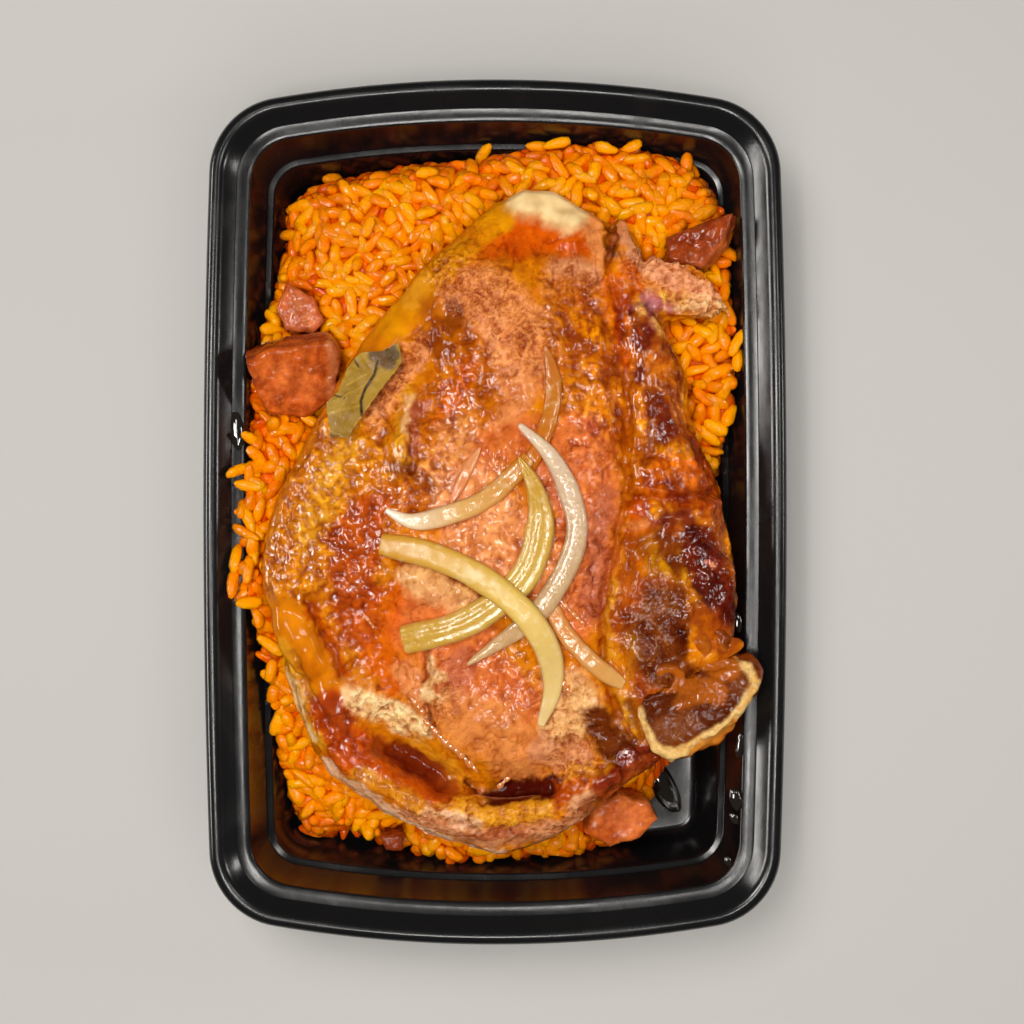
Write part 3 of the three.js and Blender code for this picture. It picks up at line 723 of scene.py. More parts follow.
class RiceSettings(bpy.types.PropertyGroup):
    """The rice grains."""

    grain_length: bpy.props.FloatProperty(
        name="Grain length", description="Length of a cooked grain", unit="LENGTH", default=0.0078
    )
    grain_girth: bpy.props.FloatProperty(
        name="Grain girth", description="Thickness of a cooked grain", unit="LENGTH", default=0.0036
    )
    tries: bpy.props.IntProperty(
        name="Tries", description="How often a loose grain is dropped on the heap", default=3000
    )
    colour: bpy.props.FloatVectorProperty(
        name="Rice", description="Colour of the grains on top", subtype="COLOR",
        default=linear(255, 160, 0),
    )
    # Painted shade: the darker orange of the gaps between grains and of grains that lie deep.
    gap_shade: bpy.props.FloatVectorProperty(
        name="Deep rice", description="Colour between the grains", subtype="COLOR",
        default=linear(214, 78, 0),
    )


class MEAL_OT_rice(bpy.types.Operator):
    """Make the heap of rice: a plain core with real grains laid over it"""

    bl_idname = "meal.rice"
    bl_label = "Rice"

    def execute(self, context):
        settings = context.scene.meal_rice
        core = even_skin(copy_of_node("rice", "Rice_core"), 0.0012, 10)
        points, normals = points_of(core), normals_of(core)
        dent = 2.6 + 1.5 * rough_noise(points / MM, 9, 3, 2) + 0.7 * rough_noise(points / MM, 3.2, 4, 2)
        move_points(core, points - normals * dent[:, None] * MM)
        # The core is painted all over in the shade colour of the gaps between grains.
        mark(core, "depth", np.ones(len(points)))
        look = rice_look("Rice between the grains", settings.colour, settings.gap_shade, 0.15)
        set_in(core, look, "rice", "rice")
        maker = HeapMaker(settings, core)
        maker.cover_core(core)
        maker.heap_up(settings.tries)
        points, faces, tone, depth = grain_mesh(maker.seen(), maker.random)
        piece = new_piece("Rice_grains", points, faces)
        mark(piece, "tone", tone)
        mark(piece, "depth", depth)
        look = rice_look("Seasoned rice", settings.colour, settings.gap_shade, 0.38)
        set_in(piece, look, "rice", "rice")
        return {"FINISHED"}


# ---- chop ----

# Colours of the braised meat and fat, as read off a screen.
MEAT = {
    "cream": (240, 203, 142),
    "tinge": (219, 138, 2),
    "amber": (214, 120, 5),
    "honey": (222, 146, 28),
    "orange": (217, 85, 2),
    "rose": (220, 132, 70),
    "blush": (230, 143, 85),
    "pink": (232, 150, 104),
    "salmon": (219, 112, 56),
    "mauve": (186, 96, 66),
    "brown": (128, 48, 5),
    "syrup": (190, 92, 1),
    "ember": (190, 72, 4),
    "sear": (184, 72, 8),
    "bark": (104, 42, 6),
    "chestnut": (150, 60, 12),
    "maroon": (84, 16, 4),
    "wine": (122, 34, 10),
    "sand": (247, 202, 144),
    "clay": (208, 134, 92),
    "olive": (156, 90, 8),
    "shell": (238, 184, 146),
}
# Where each colour lies, the later over the earlier: colour, strength, half width, softness, route.
MEAT_PATCHES = [
    ("amber", 1.0, 9, 5, [(2, 77), (-14, 62), (-30, 44), (-44, 24), (-54, 2), (-57, -16)]),
    ("rose", 0.9, 7.5, 6, [(-9, 59), (-2, 54), (6, 46), (8, 38)]),
    ("syrup", 1.0, 5.5, 5, [(-18, 58), (-10, 66), (-2, 69), (9, 70), (21, 68)]),
    ("orange", 0.85, 4, 4, [(-4, 69), (9, 71), (22, 69)]),
    ("tinge", 0.8, 3.5, 3, [(4, 79), (-2, 72), (-10, 65), (-18, 57), (-26, 47)]),
    ("honey", 0.8, 2.2, 2, [(-17, 60), (-21, 54)]),
    ("cream", 1.0, 4.6, 4.5, [(8.5, 79.5), (13, 79), (19, 76.5)]),
    ("tinge", 0.7, 2.0, 2, [(2, 78), (1, 73)]),
    ("rose", 1.0, 2.6, 1.2, [(25, 74.5), (26, 69), (27, 65)]),
    # Painted shadow: bark in the furrow on the right of the rose lump.
    ("bark", 0.8, 0.9, 1.2, [(29.4, 74), (29.8, 66)]),
    ("clay", 0.8, 3.5, 2.5, [(17, 62), (24, 60)]),
    ("rose", 0.7, 3.0, 3, [(15, 56), (24, 54)]),
    ("syrup", 0.9, 8, 4, [(20, 53), (23, 41), (27, 29), (28, 22)]),
    ("orange", 0.6, 3.5, 2.5, [(30, 58), (33, 48), (34, 38)]),
    ("syrup", 0.9, 8, 4, [(-6, 38), (-10, 29), (-13, 21)]),
    ("orange", 0.5, 3, 4, [(-7, 36), (-12, 24)]),
    ("syrup", 0.8, 5, 4, [(1, 40), (-2, 26)]),
    ("brown", 0.5, 1.6, 2, [(-6, 46), (-7, 38)]),
    ("blush", 0.8, 3, 2.5, [(-1, 48), (2, 38), (5, 28), (2, 22)]),
    ("brown", 0.85, 2.6, 2.5, [(-10, 51), (-9.5, 47)]),
    ("brown", 0.8, 2.8, 2.5, [(-15, 44), (-13, 41)]),
    ("chestnut", 0.6, 2.6, 3, [(-17, 52), (-14, 47), (-19, 42)]),
    ("blush", 0.7, 3, 2.5, [(-20, 40), (-27, 30), (-30, 24)]),
    ("wine", 0.45, 2.4, 2.5, [(-24, 36), (-30, 27)]),
    ("salmon", 0.9, 8, 5, [(22, 18), (23, 0), (21, -16), (18, -26)]),
    ("blush", 1.0, 10, 5, [(-8, 8), (-2, -8), (6, -12)]),
    ("salmon", 0.8, 5, 4, [(0, 16), (8, 20), (12, 8)]),
    ("rose", 0.8, 5, 4, [(-8, 20), (-12, 12)]),
    # Painted shade: mauve on the muscle beside the seam, below the higher meat to its right.
    ("mauve", 0.8, 2.6, 2.5, [(27, 4), (26, -10), (24, -26)]),
    ("mauve", 0.6, 2.2, 2, [(12, 14), (14, 2)]),
    ("chestnut", 0.6, 2, 2, [(7, -8), (9, -14)]),
    ("honey", 0.85, 1.7, 1.4, [(-21.5, 30), (-23.5, 21), (-24, 12)]),
    ("sand", 0.6, 0.9, 1.0, [(-20.5, 29), (-22, 20)]),
    ("mauve", 0.8, 1.2, 1.2, [(-18.5, 28), (-20, 20), (-20.5, 13)]),
    ("brown", 0.75, 2.6, 3, [(-25, 10), (-17, 6)]),
    ("sear", 0.6, 3.5, 4, [(-20, 2), (-28, 4)]),
    ("honey", 0.75, 4.4, 5, [(-38, 17), (-43, 6), (-47, -5)]),
    ("syrup", 0.5, 3, 4, [(-50, 4), (-54, -12)]),
    ("amber", 0.6, 2.2, 3, [(-50, 6), (-55, -10)]),
    ("salmon", 0.9, 9, 5, [(-18, -28), (-8, -34), (-2, -44)]),
    ("orange", 0.7, 5, 4, [(-27, -22), (-30, -34), (-26, -42)]),
    ("sear", 0.95, 6, 4, [(-33, -1), (-36, -14), (-35, -30)]),
    ("wine", 0.35, 2.0, 2, [(-39, -9), (-39.5, -20)]),
    ("sand", 0.5, 4.0, 3, [(-21, -16), (-13, -20), (-6, -24)]),
    ("chestnut", 0.7, 0.9, 1.0, [(-25, -12), (-14, -14.5), (-4, -20)]),
    ("amber", 0.95, 4.8, 2, [(-54, -24), (-49, -34), (-43, -44)]),
    ("syrup", 0.7, 1.8, 2, [(-48, -36), (-45, -42)]),
    ("ember", 0.7, 1.4, 1.6, [(-46, -24), (-41, -35), (-38, -42)]),
    ("honey", 0.9, 2.6, 1.2, [(-53, -35), (-50, -47), (-46, -58)]),
    ("sand", 0.7, 1.2, 1.2, [(-52.5, -42), (-50, -50), (-47, -58)]),
    ("ember", 1.0, 5, 2.5, [(-43, -50), (-38, -57), (-33, -62)]),
    ("wine", 0.5, 2.4, 2, [(-42, -49), (-38, -55)]),
    ("sand", 1.0, 3.2, 2, [(-36, -47), (-29, -50.5), (-23, -53), (-19, -56)]),
    ("blush", 0.9, 4, 3, [(-22, -42), (-16, -48)]),
    ("mauve", 0.75, 2.2, 2, [(-7, -40), (-12, -47), (-8, -36)]),
    ("sand", 0.9, 1.7, 1.3, [(-15.5, -37), (-14, -42), (-17, -46), (-12.5, -47.5)]),
    ("chestnut", 0.9, 0.55, 0.7, [(-17.5, -37), (-17, -42.5)]),
    ("bark", 0.8, 0.6, 0.8, [(-17.5, -50), (-16.5, -57)]),
    ("salmon", 0.8, 5, 4, [(2, -42), (8, -50)]),
    ("rose", 0.85, 7, 5, [(-8, -52), (2, -56), (6, -64)]),
    ("clay", 0.6, 2.2, 2.5, [(14, -33), (15, -46)]),
    ("sand", 0.55, 4.5, 4, [(18, -44), (22, -50), (16, -56)]),
    ("clay", 0.75, 4.5, 3, [(12, -60), (20, -62)]),
    ("honey", 0.7, 2.4, 2, [(20, -66), (25, -67)]),
    ("bark", 1.0, 4.2, 3, [(26, -53), (30, -60), (33, -60)]),
    ("chestnut", 1.0, 3.4, 2, [(-29, -60), (-21, -65), (-12, -70)]),
    ("wine", 0.6, 1.6, 1.6, [(-26, -62.5), (-16, -68.5)]),
    ("honey", 0.6, 1.8, 2, [(-21, -58.5), (-12, -65), (-7, -69)]),
    ("maroon", 1.0, 2.9, 1.6, [(-1, -73.6), (6, -72.4), (14, -70.4)]),
    ("maroon", 0.9, 0.5, 0.6, [(-7, -70), (-2.6, -74)]),
    ("ember", 0.9, 4, 3, [(-40, -63), (-26, -70), (-14, -75)]),
    ("honey", 0.8, 2.6, 2.5, [(-34, -68), (-20, -74), (-8, -77)]),
    ("honey", 0.95, 2.8, 1.5, [(-8, -76.5), (2, -78), (12, -76)]),
    ("clay", 0.9, 2.6, 2, [(-22, -78), (-10, -81.5), (0, -84), (12, -82), (24, -77)]),
    ("shell", 0.8, 1.8, 2, [(-16, -75.5), (-6, -79.5)]),
    ("chestnut", 0.7, 1.4, 1.6, [(-6, -82), (8, -82.5)]),
    ("shell", 1.0, 1.3, 1.0, [(-44, -64.5), (-33, -73.5), (-22, -81), (-8, -87), (6, -89), (20, -84.5),
                              (28, -79)]),
    ("shell", 0.7, 1.8, 1.8, [(20, -74), (26, -72)]),
    ("ember", 0.8, 2.2, 2, [(16, -71.5), (24, -68.5)]),
    ("wine", 1.0, 3.6, 2, [(27, -70), (34, -64.5), (41, -60)]),
    ("chestnut", 0.8, 2.8, 2.5, [(24, -75), (33, -69), (40, -63)]),
    ("bark", 0.9, 3.2, 2, [(37.5, 50), (44, 42)]),
    ("clay", 0.7, 1.0, 1.0, [(36, 52), (41.5, 48), (44.5, 43)]),
    ("chestnut", 0.9, 5.5, 3, [(37, 44), (42, 34), (45, 22)]),
    ("bark", 0.25, 3.0, 3, [(38, 38), (43, 28), (41, 18)]),
    ("syrup", 0.9, 2.2, 2, [(35.5, 30), (36, 18), (35.5, 6)]),
    ("brown", 0.7, 4.5, 3, [(43, 20), (50, 14), (53, 9)]),
    ("orange", 0.5, 2.2, 2, [(52, 19), (55, 12)]),
    ("ember", 0.8, 5, 3, [(42, 8), (50, 8), (55, 3)]),
    ("chestnut", 0.8, 3, 2.5, [(46, 8), (53, 5)]),
    ("ember", 0.9, 3, 2.5, [(36, 2), (36, -5)]),
    ("rose", 0.6, 1.4, 1.4, [(33, -4), (42, -2), (50, -0.5)]),
    ("chestnut", 0.8, 4.5, 3, [(46, -4), (54, -4)]),
    ("syrup", 0.9, 3.4, 2.5, [(37, -8), (34, -18), (32, -28)]),
    ("chestnut", 0.7, 2.4, 1.5, [(36, -8), (33, -18), (31, -28)]),
    ("honey", 0.8, 1.1, 1.2, [(29.5, -18), (28, -28), (29, -38)]),
    ("olive", 0.9, 4.2, 3, [(41, -9), (45, -15), (42, -18)]),
    ("honey", 0.6, 1.2, 1.2, [(45, -17), (50, -24)]),
    ("maroon", 1.0, 5, 2.5, [(51, -8), (55, -16), (57, -25)]),
    ("wine", 0.6, 2.4, 2, [(57, -10), (60, -18)]),
    ("blush", 0.9, 0.8, 0.6, [(53.5, -12), (54.8, -13)]),
    ("chestnut", 1.0, 8, 4, [(41, -24), (39, -33), (44, -44)]),
    ("bark", 1.0, 6, 4, [(43, -24), (41, -33), (45, -42)]),
    ("olive", 0.5, 2.4, 3, [(35, -26), (34, -38)]),
    ("maroon", 0.9, 1.2, 1.2, [(47, -30), (48, -34)]),
    ("chestnut", 0.9, 3.4, 2, [(52, -27), (58, -33)]),
    ("syrup", 0.6, 1.5, 2, [(53, -28), (58, -33)]),
    ("honey", 0.7, 1.8, 1.8, [(31, -44), (34, -53)]),
    ("bark", 0.7, 1.4, 1.6, [(34, -46), (37, -56)]),
    ("pink", 1.0, 4, 2, [(39, 64), (48, 58), (55, 54)]),
    ("sand", 0.6, 2.4, 2.5, [(40, 54), (50, 52), (57, 51)]),
    ("tinge", 0.6, 1.6, 1.8, [(42, 55), (48, 54)]),
    ("clay", 0.9, 1.8, 1, [(32.5, 75), (33, 69), (36, 62)]),
    ("ember", 0.7, 1.6, 1.4, [(33, 62), (37, 58)]),
]
# Where the surface is crumbly: strength, half width, softness and route, as in the next three tables.
CRUMBLY = [
    (1.0, 7.5, 6, [(-9, 59), (2, 51), (8, 42)]),
    (0.9, 4, 3, [(-20, 42), (-30, 26)]),
    (0.7, 5, 3, [(-34, -48), (-20, -54)]),
    (0.8, 4, 3, [(-15, -38), (-12, -48)]),
    (0.8, 7, 4, [(17, -48), (20, -62)]),
    (0.7, 4, 3, [(15, 60), (26, 58)]),
    (0.4, 6, 4, [(22, 12), (24, -20)]),
    (0.35, 5, 3, [(40, -22), (40, -42)]),
    (0.9, 6, 3, [(38, 63), (47, 58), (56, 54)]),
    (0.6, 5, 3, [(-20, -78), (20, -80)]),
]
WET = [
    (1.0, 9, 4, [(-35, 20), (-45, 0), (-50, -14)]),
    (1.0, 8, 4, [(-6, 36), (-12, 22), (-22, 6)]),
    (1.0, 9, 4, [(20, 50), (26, 28)]),
    (0.75, 10, 4, [(42, 42), (44, 10), (54, -14)]),
    (0.9, 8, 4, [(-34, -4), (-36, -30)]),
    (0.5, 7, 4, [(22, 14), (20, -20)]),
    (0.9, 5, 3, [(-44, -50), (-34, -64)]),
    (0.4, 7, 4, [(2, 10), (-6, -14), (4, -44)]),
    (1.0, 6, 4, [(27, -68), (38, -62)]),
    (0.3, 8, 4, [(38, -56), (40, -28)]),
]
# Where amber and dark streaks run side by side along the fibres.
STREAKED = [
    (1.0, 9, 5, [(38, 48), (43, 34), (46, 18)]),
    (0.8, 8, 5, [(45, 2), (48, -10)]),
    (0.5, 8, 4, [(39, -24), (42, -42)]),
    (0.6, 6, 4, [(22, 50), (28, 24)]),
]
# Bare fat and jelly, without lumps or wrinkles.
SMOOTH = [
    (1.0, 6.5, 2.5, [(6, 79.5), (13, 79), (20, 77)]),
    (0.9, 5, 3, [(-20, 55), (-32, 41)]),
    (0.9, 5, 3, [(-54, -26), (-48, -36), (-42, -45)]),
    (0.7, 4, 3, [(-28, -60), (-13, -69)]),
    (0.7, 2.6, 2, [(-1, -73.6), (14, -70.4)]),
]
# Turns and stretches places so that wrinkles run aslant, as the meat's fibres do.
FIBRES = np.array([[1.0, -0.3, 0.0], [0.4, 0.6, 0.0], [0.0, 0.0, 1.0]])
# Narrow furrows (-) and ridges (+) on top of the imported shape: height, half width, route.
MEAT_CREASES = [
    (-1.7, 1.0, [(33.2, 40), (33.5, 21), (33.2, 2.3), (29, -13), (26.5, -27.6), (27.4, -40), (31, -52),
                 (35, -57)]),
    (-1.0, 0.9, [(33, 46), (30, 56), (28.6, 64)]),
    (1.0, 2.2, [(36.5, 30), (36, 8)]),
    (-1.0, 1.2, [(39.5, 30), (39, 14)]),
    (1.2, 1.8, [(33.2, -4.8), (41.8, -2), (49.2, -1), (55.7, 1.8)]),
    (-1.2, 1.3, [(34, 3), (46, 3), (55, 5)]),
    (-1.0, 1.1, [(-18.7, 30), (-20.5, 21), (-21, 11)]),
    (0.9, 1.4, [(-21.5, 31), (-23.3, 21), (-23.8, 11)]),
    (0.9, 3.4, [(-22, -16.5), (-13.5, -20.5), (-6, -24.5)]),
    (-0.8, 1.2, [(-26, -12), (-14, -14.8), (-3, -21)]),
    (-1.6, 1.1, [(-46.8, -22), (-42.5, -32), (-38.6, -42)]),
    (-1.4, 1.2, [(-51.5, -36), (-47.5, -46), (-43, -55)]),
    (-1.9, 0.9, [(-17.5, -36), (-17.2, -43)]),
    (-1.6, 1.0, [(-17.7, -50), (-16, -57)]),
    (1.2, 1.6, [(-15, -37), (-14, -41.5)]),
    (1.2, 1.8, [(-17, -46), (-12.5, -47.5)]),
    (-1.8, 1.0, [(-7.5, -69.5), (-2.6, -74)]),
    (-1.6, 2.2, [(-27, -61), (-14, -69)]),
    (-1.4, 2.0, [(0, -73), (13, -70)]),
    (-1.0, 1.6, [(20, -56), (19, -62)]),
    (-1.2, 1.2, [(47, -30), (48, -35)]),
    (1.0, 1.6, [(-13.1, 47.6), (-12.8, 46.8)]),
    (1.1, 1.3, [(-10.8, 43.2), (-10.2, 42.4)]),
    (-2.2, 0.8, [(29.2, 76), (29.8, 70), (29.6, 64)]),
    (-0.6, 0.8, [(36, -14), (34, -22)]),
    (0.9, 2.0, [(45, -15), (51, -24)]),
]
ROLL_STEPS, ROLL_SIDES = 26, 14
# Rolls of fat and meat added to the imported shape: half width at the start, middle and end, how high
# it is for its width, and the route.
MEAT_ROLLS = [
    (2.6, 4.4, 3.4, 0.9, [(-43, -61, 38), (-30, -69.5, 38), (-12, -76, 37.5), (2, -77.6, 37),
                          (14, -75.4, 38.5), (25, -70, 41), (33, -64.5, 43)]),
    (3.6, 5.4, 3.8, 0.7, [(-53.5, -21, 44), (-50, -32, 44), (-44.5, -42.5, 42.5)]),
    (1.4, 2.6, 1.6, 0.8, [(-53.2, -33, 38), (-50.5, -45, 37), (-46.5, -58, 35)]),
    (1.8, 2.4, 2.0, 0.5, [(31.5, 75, 40), (33, 69, 41), (35.6, 62, 41.8)]),
    (2.4, 3.6, 2.2, 0.36, [(37, 60, 40.8), (46, 60.5, 40.8), (55, 57.5, 40.6)]),
    (1.6, 2.4, 1.6, 0.4, [(38, 53, 41), (47, 52, 41), (58, 52, 40.6)]),
    (2.6, 4.2, 2.8, 0.6, [(50, -8, 45.8), (56, -15, 45.2), (58, -25, 44.6)]),
    (2.0, 3.0, 2.0, 0.55, [(36, -44, 45.2), (45, -39.6, 46.2), (55, -35.4, 46), (63, -33, 44.8)]),
    (2.4, 3.4, 2.6, 0.6, [(34, -46, 44.6), (34.5, -54, 44), (39, -61, 43)]),
    (2.6, 4.2, 2.6, 0.5, [(24, -54, 43.4), (31, -61, 43.8)]),
]


def soft_patch(points, half_width, softness, route):
    """1 inside a patch round a route, falling to 0 over its soft edge."""
    away = route_distance(points, route)
    share = np.clip((half_width + softness / 2 - away) / softness, 0, 1)
    return share * share * (3 - 2 * share)


def painted(points, palette, patches, base):
    """A colour for each point from patches laid one over another."""
    colours = np.tile(np.array(linear(*palette[base])), (len(points), 1))
    for name, strength, half_width, softness, route in patches:
        share = strength * soft_patch(points, half_width, softness, route)[:, None]
        colours += share * (np.array(linear(*palette[name])) - colours)
    return colours


def covered(points, patches):
    """How strongly any of some patches lies on each point."""
    total = np.zeros(len(points))
    for strength, half_width, softness, route in patches:
        total = np.maximum(total, strength * soft_patch(points, half_width, softness, route))
    return total


def warped(points_mm, seed, reach=1.0):
    """Places shifted by noise of three sizes, so that what is drawn on them has torn edges."""
    places = points_mm[:, :2].copy()
    for size, far in ((9.0, 1.8), (3.4, 1.1), (1.3, 0.55)):
        seed += 20
        shift = [rough_noise(points_mm, size, seed + k, 2) for k in (0, 9)]
        places += reach * far * np.stack(shift, 1)
    return places


def swept(route, sections):
    """Points and faces of a closed shape: sections (side, up) carried along a route."""
    route = np.asarray(route, float)
    tangent = np.gradient(route, axis=0)
    tangent /= np.linalg.norm(tangent, axis=1)[:, None]
    side = np.cross(tangent, (0, 0, 1.0))
    side /= np.maximum(np.linalg.norm(side, axis=1), 1e-6)[:, None]
    up = np.cross(side, tangent)
    rings = route[:, None] + sections[..., :1] * side[:, None] + sections[..., 1:] * up[:, None]
    points = np.vstack([rings.reshape(-1, 3), rings[0].mean(0), rings[-1].mean(0)])
    return points, tube_faces(*rings.shape[:2], flip=True)


def roll_shape(start, middle, end, flatness, route):
    """A roll with blunt ends along a route, thicker or thinner on the way and flatter than round."""
    share = np.linspace(0, 1, ROLL_STEPS)
    radius = np.interp(share, [0, 0.5, 1], [start, middle, end])
    radius = radius * (1 - np.abs(2 * share - 1) ** 8) ** 0.5 + 0.05
    angles = np.linspace(0, 2 * math.pi, ROLL_SIDES, endpoint=False)
    circle = np.stack([np.cos(angles), flatness * np.sin(angles)], 1)
    return swept(smooth_route(route, ROLL_STEPS), radius[:, None, None] * circle)


def packed_shape(node):
    """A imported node's points, in millimetres, and faces."""
    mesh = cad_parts[node].data
    points = np.array([v.co[:] for v in mesh.vertices]) / MM
    return points, [list(p.vertices) for p in mesh.polygons]


def fused(name, node, rolls, voxel, rounds):
    """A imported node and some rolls, run together into one fine skin."""
    shapes = [packed_shape(node), *(roll_shape(*roll) for roll in rolls)]
    return even_skin(joined(name, shapes), voxel, rounds)


def meat_look(name, fleck_and_highlight, hollow_shade, lump_mm, depth_mm):
    """Moist food in its painted tint: painted shade in the seams between lumps where wet and in pits where
    crumbly, painted highlight on the lumps' tops, and pale flecks where crumbly, partly painted highlight.
    """
    look = Look(name, IOR=1.4, Specular_IOR_Level=0.28, Coat_Roughness=0.04, Coat_IOR=1.55)
    crumb, wet, lively = look.read("crumb"), look.read("wet"), 1 - look.read("calm")
    blots = look.noise(0.0042, 3.5, 1.2, (1, 0.7, 1))
    lumps = look.noise(lump_mm * MM, 0.5, 0.5)
    grain = look.noise(lump_mm * 0.45 * MM, 2, 0.5)
    # Painted shade: the low parts of the bump's lumps and grain take the hollow shade colour.
    low = (1 - lumps).between(0.53, 0.66) * (0.1 + wet * 0.35) + (1 - grain).between(0.57, 0.67) * crumb * 0.5
    # dark deepens random blots; light tints the painted highlight on the lumps' tops.
    dark, light = (0.76, 0.52, 0.26), (1.12, 1.4, 1.0)
    shaded = look.mix(blots.between(0.5, 0.62) * lively * 0.55, look.read_colour("tint"), dark, "MULTIPLY")
    painted_highlight = look.mix(lumps.between(0.5, 0.64) * lively * (0.2 + wet * 0.5), shaded, light, "MULTIPLY")
    hollow_shaded = look.mix(low * lively, painted_highlight, hollow_shade)
    # Pale flecks on the grain's raised tops: partly the crumbs' own colour, partly painted highlight.
    fleck_and_highlight_share = grain.between(0.58, 0.67) * (0.04 + crumb * 0.42) * lively
    look.set("Base Color", look.mix(fleck_and_highlight_share, hollow_shaded, fleck_and_highlight))
    look.set("Roughness", 0.08 + crumb * 0.2)
    look.set("Coat Weight", wet * (0.2 + look.noise(0.0055, 2, 0.8).between(0.42, 0.6) * 0.8))
    look.bump((lumps * (0.2 + wet) + grain * crumb * 0.7) * lively, depth_mm * MM)
    return look.material


def mark_food(piece, tint, crumb, wet, calm):
    """Stores what meat_look reads: a colour, and how crumbly, wet and smooth each point is."""
    for name, values in (("tint", tint), ("crumb", crumb), ("wet", wet), ("calm", calm)):
        mark(piece, name, values)


FLANK_TOP_MM = 42  # below this the chop's sides have one colour
PALE_FLANK_MM = -40  # and a paler one at the end with a Y below this
FINE_VOXEL, QUICK_VOXEL = 0.0005, 0.0007


def torn_lines(points, size, seed):
    """1 along the thin winding lines where the meat's fibres part, 0 elsewhere."""
    return np.clip(1 - np.abs(rough_noise(points, size, seed, 3)) / 0.07, 0, 1)


def shaped_chop(piece):
    """Creases, lumps and crumbs on the fused skin of the chop, and its colours, with painted light and shade
    that follow its relief.
    """
    points, normals = points_of(piece) / MM, normals_of(piece)
    upward = np.clip(normals[:, 2] * 1.6, 0, 1)
    flat = warped(points, 21, 0.5)
    calm = covered(flat, SMOOTH)
    crumb = covered(flat, CRUMBLY) * (1 - calm)
    wet = np.clip(covered(flat, WET) - 0.5 * crumb, 0, 1)
    crease = sum(h * soft_band(route_distance(flat, route), w) for h, w, route in MEAT_CREASES) * upward
    crag = 0.5 - np.abs(rough_noise(points, 2.4, 41, 3)) * 2
    wrinkle = rough_noise(points @ FIBRES, 3.2, 51, 3) * upward
    tear = np.maximum(torn_lines(points * (1, 0.55, 1), 7, 231), 0.7 * torn_lines(points, 3.6, 241)) * upward
    tear *= 1 - calm
    small = (0.1 + 0.8 * crumb) * crag * 0.8 + (0.15 + 0.55 * wet) * wrinkle
    small += (0.08 + 0.3 * crumb + 0.25 * wet) * rough_noise(points, 1.9, 45, 2) - (0.25 + 0.4 * crumb) * tear
    small *= 1 - 0.85 * calm
    rise = crease + 0.6 * rough_noise(points, 9, 31, 2) + small
    move_points(piece, (points + normals * rise[:, None]) * MM)
    tint = painted(warped(points, 61), MEAT, MEAT_PATCHES, "amber")
    side = np.clip(0.5 - 2 * normals[:, 2], 0, 0.8)[:, None] * (points[:, 2:] < FLANK_TOP_MM)
    flank = np.where(points[:, 1:2] < PALE_FLANK_MM, linear(*MEAT["clay"]), linear(*MEAT["syrup"]))
    tint += side * (flank - tint)
    # A random mottle, plus painted light and shade from the relief: lighter and paler on what rises, darker
    # and redder in creases, hollows and torn lines.
    mottle_and_relief_light = 0.3 * rough_noise(points, 4, 201, 3)
    mottle_and_relief_light += 0.8 * np.clip(small + 0.5 * np.minimum(crease, 0), -0.6, 0.4)
    mottle_and_relief_light -= 0.35 * tear
    tint *= np.clip(1 + mottle_and_relief_light[:, None] * (0.7, 1.0, 1.3), 0.2, 1.5)
    streak = np.clip(rough_noise(points @ FIBRES, 5.5, 211, 3) * 2.2, -0.5, 1) * covered(flat, STREAKED)
    tint *= np.clip(1 + streak[:, None] * (0.9, 1.5, 0.4), 0.3, 3)
    mark_food(piece, np.clip(tint, 0, 0.95), crumb, wet, calm)


class ChopSettings(bpy.types.PropertyGroup):
    """The skin of the chop."""

    skin: bpy.props.FloatProperty(
        name="Skin detail", description="Size of the chop's smallest facet", unit="LENGTH",
        default=FINE_VOXEL,
    )


class MEAL_OT_chop(bpy.types.Operator):
    """Make the braised chop: fat, lean, curled rim and torn flap in one skin"""

    bl_idname = "meal.chop"
    bl_label = "Pork chop"

    def execute(self, context):
        voxel = context.scene.meal_chop.skin
        piece = fused("Pork_chop", "chop", MEAT_ROLLS, voxel, 4)
        shaped_chop(piece)
        # A pale fleck colour, partly painted highlight, and the painted shade colour for the hollows.
        look = meat_look("Braised pork", linear(240, 168, 92), linear(118, 40, 0), 1.6, 0.34)
        set_in(piece, look, "chop", "chop")
        return {"FINISHED"}


# ---- bone ----

BONE = {
    "rim": (236, 190, 118),
    "lip": (206, 124, 36),
    "marrow": (90, 32, 4),
    "dust": (142, 76, 34),
    "jelly": (174, 86, 12),
    "crust": (130, 56, 8),
}
BONE_PATCHES = [
    ("marrow", 1.0, 9, 3, [(42, -50), (52, -48), (60, -42)]),
    ("dust", 0.6, 3.5, 3, [(43, -55), (48, -54)]),
    ("dust", 0.5, 2.5, 3, [(60, -39), (62, -44)]),
    ("rim", 1.0, 1.5, 0.8, [(34.5, -46), (37, -53), (40.5, -59.5), (44.5, -61.5), (50, -58.8), (57, -54.5)]),
    ("rim", 1.0, 1.1, 0.9, [(57, -54.5), (62.5, -49.5), (65.6, -43), (63.6, -39), (60, -37.4)]),
    ("crust", 0.8, 1.2, 1.0, [(66, -50), (68, -44), (67, -38), (62, -35)]),
    ("lip", 0.9, 1.3, 1.0, [(50, -61), (56, -57.4), (61, -53)]),
    ("jelly", 0.95, 3.0, 1.6, [(42, -42), (46, -42.4), (50, -44), (56, -45.6)]),
    ("jelly", 0.8, 1.8, 2, [(47, -48), (56, -46)]),
    ("jelly", 1.0, 4, 2, [(48, -31), (53, -35), (58, -39)]),
]
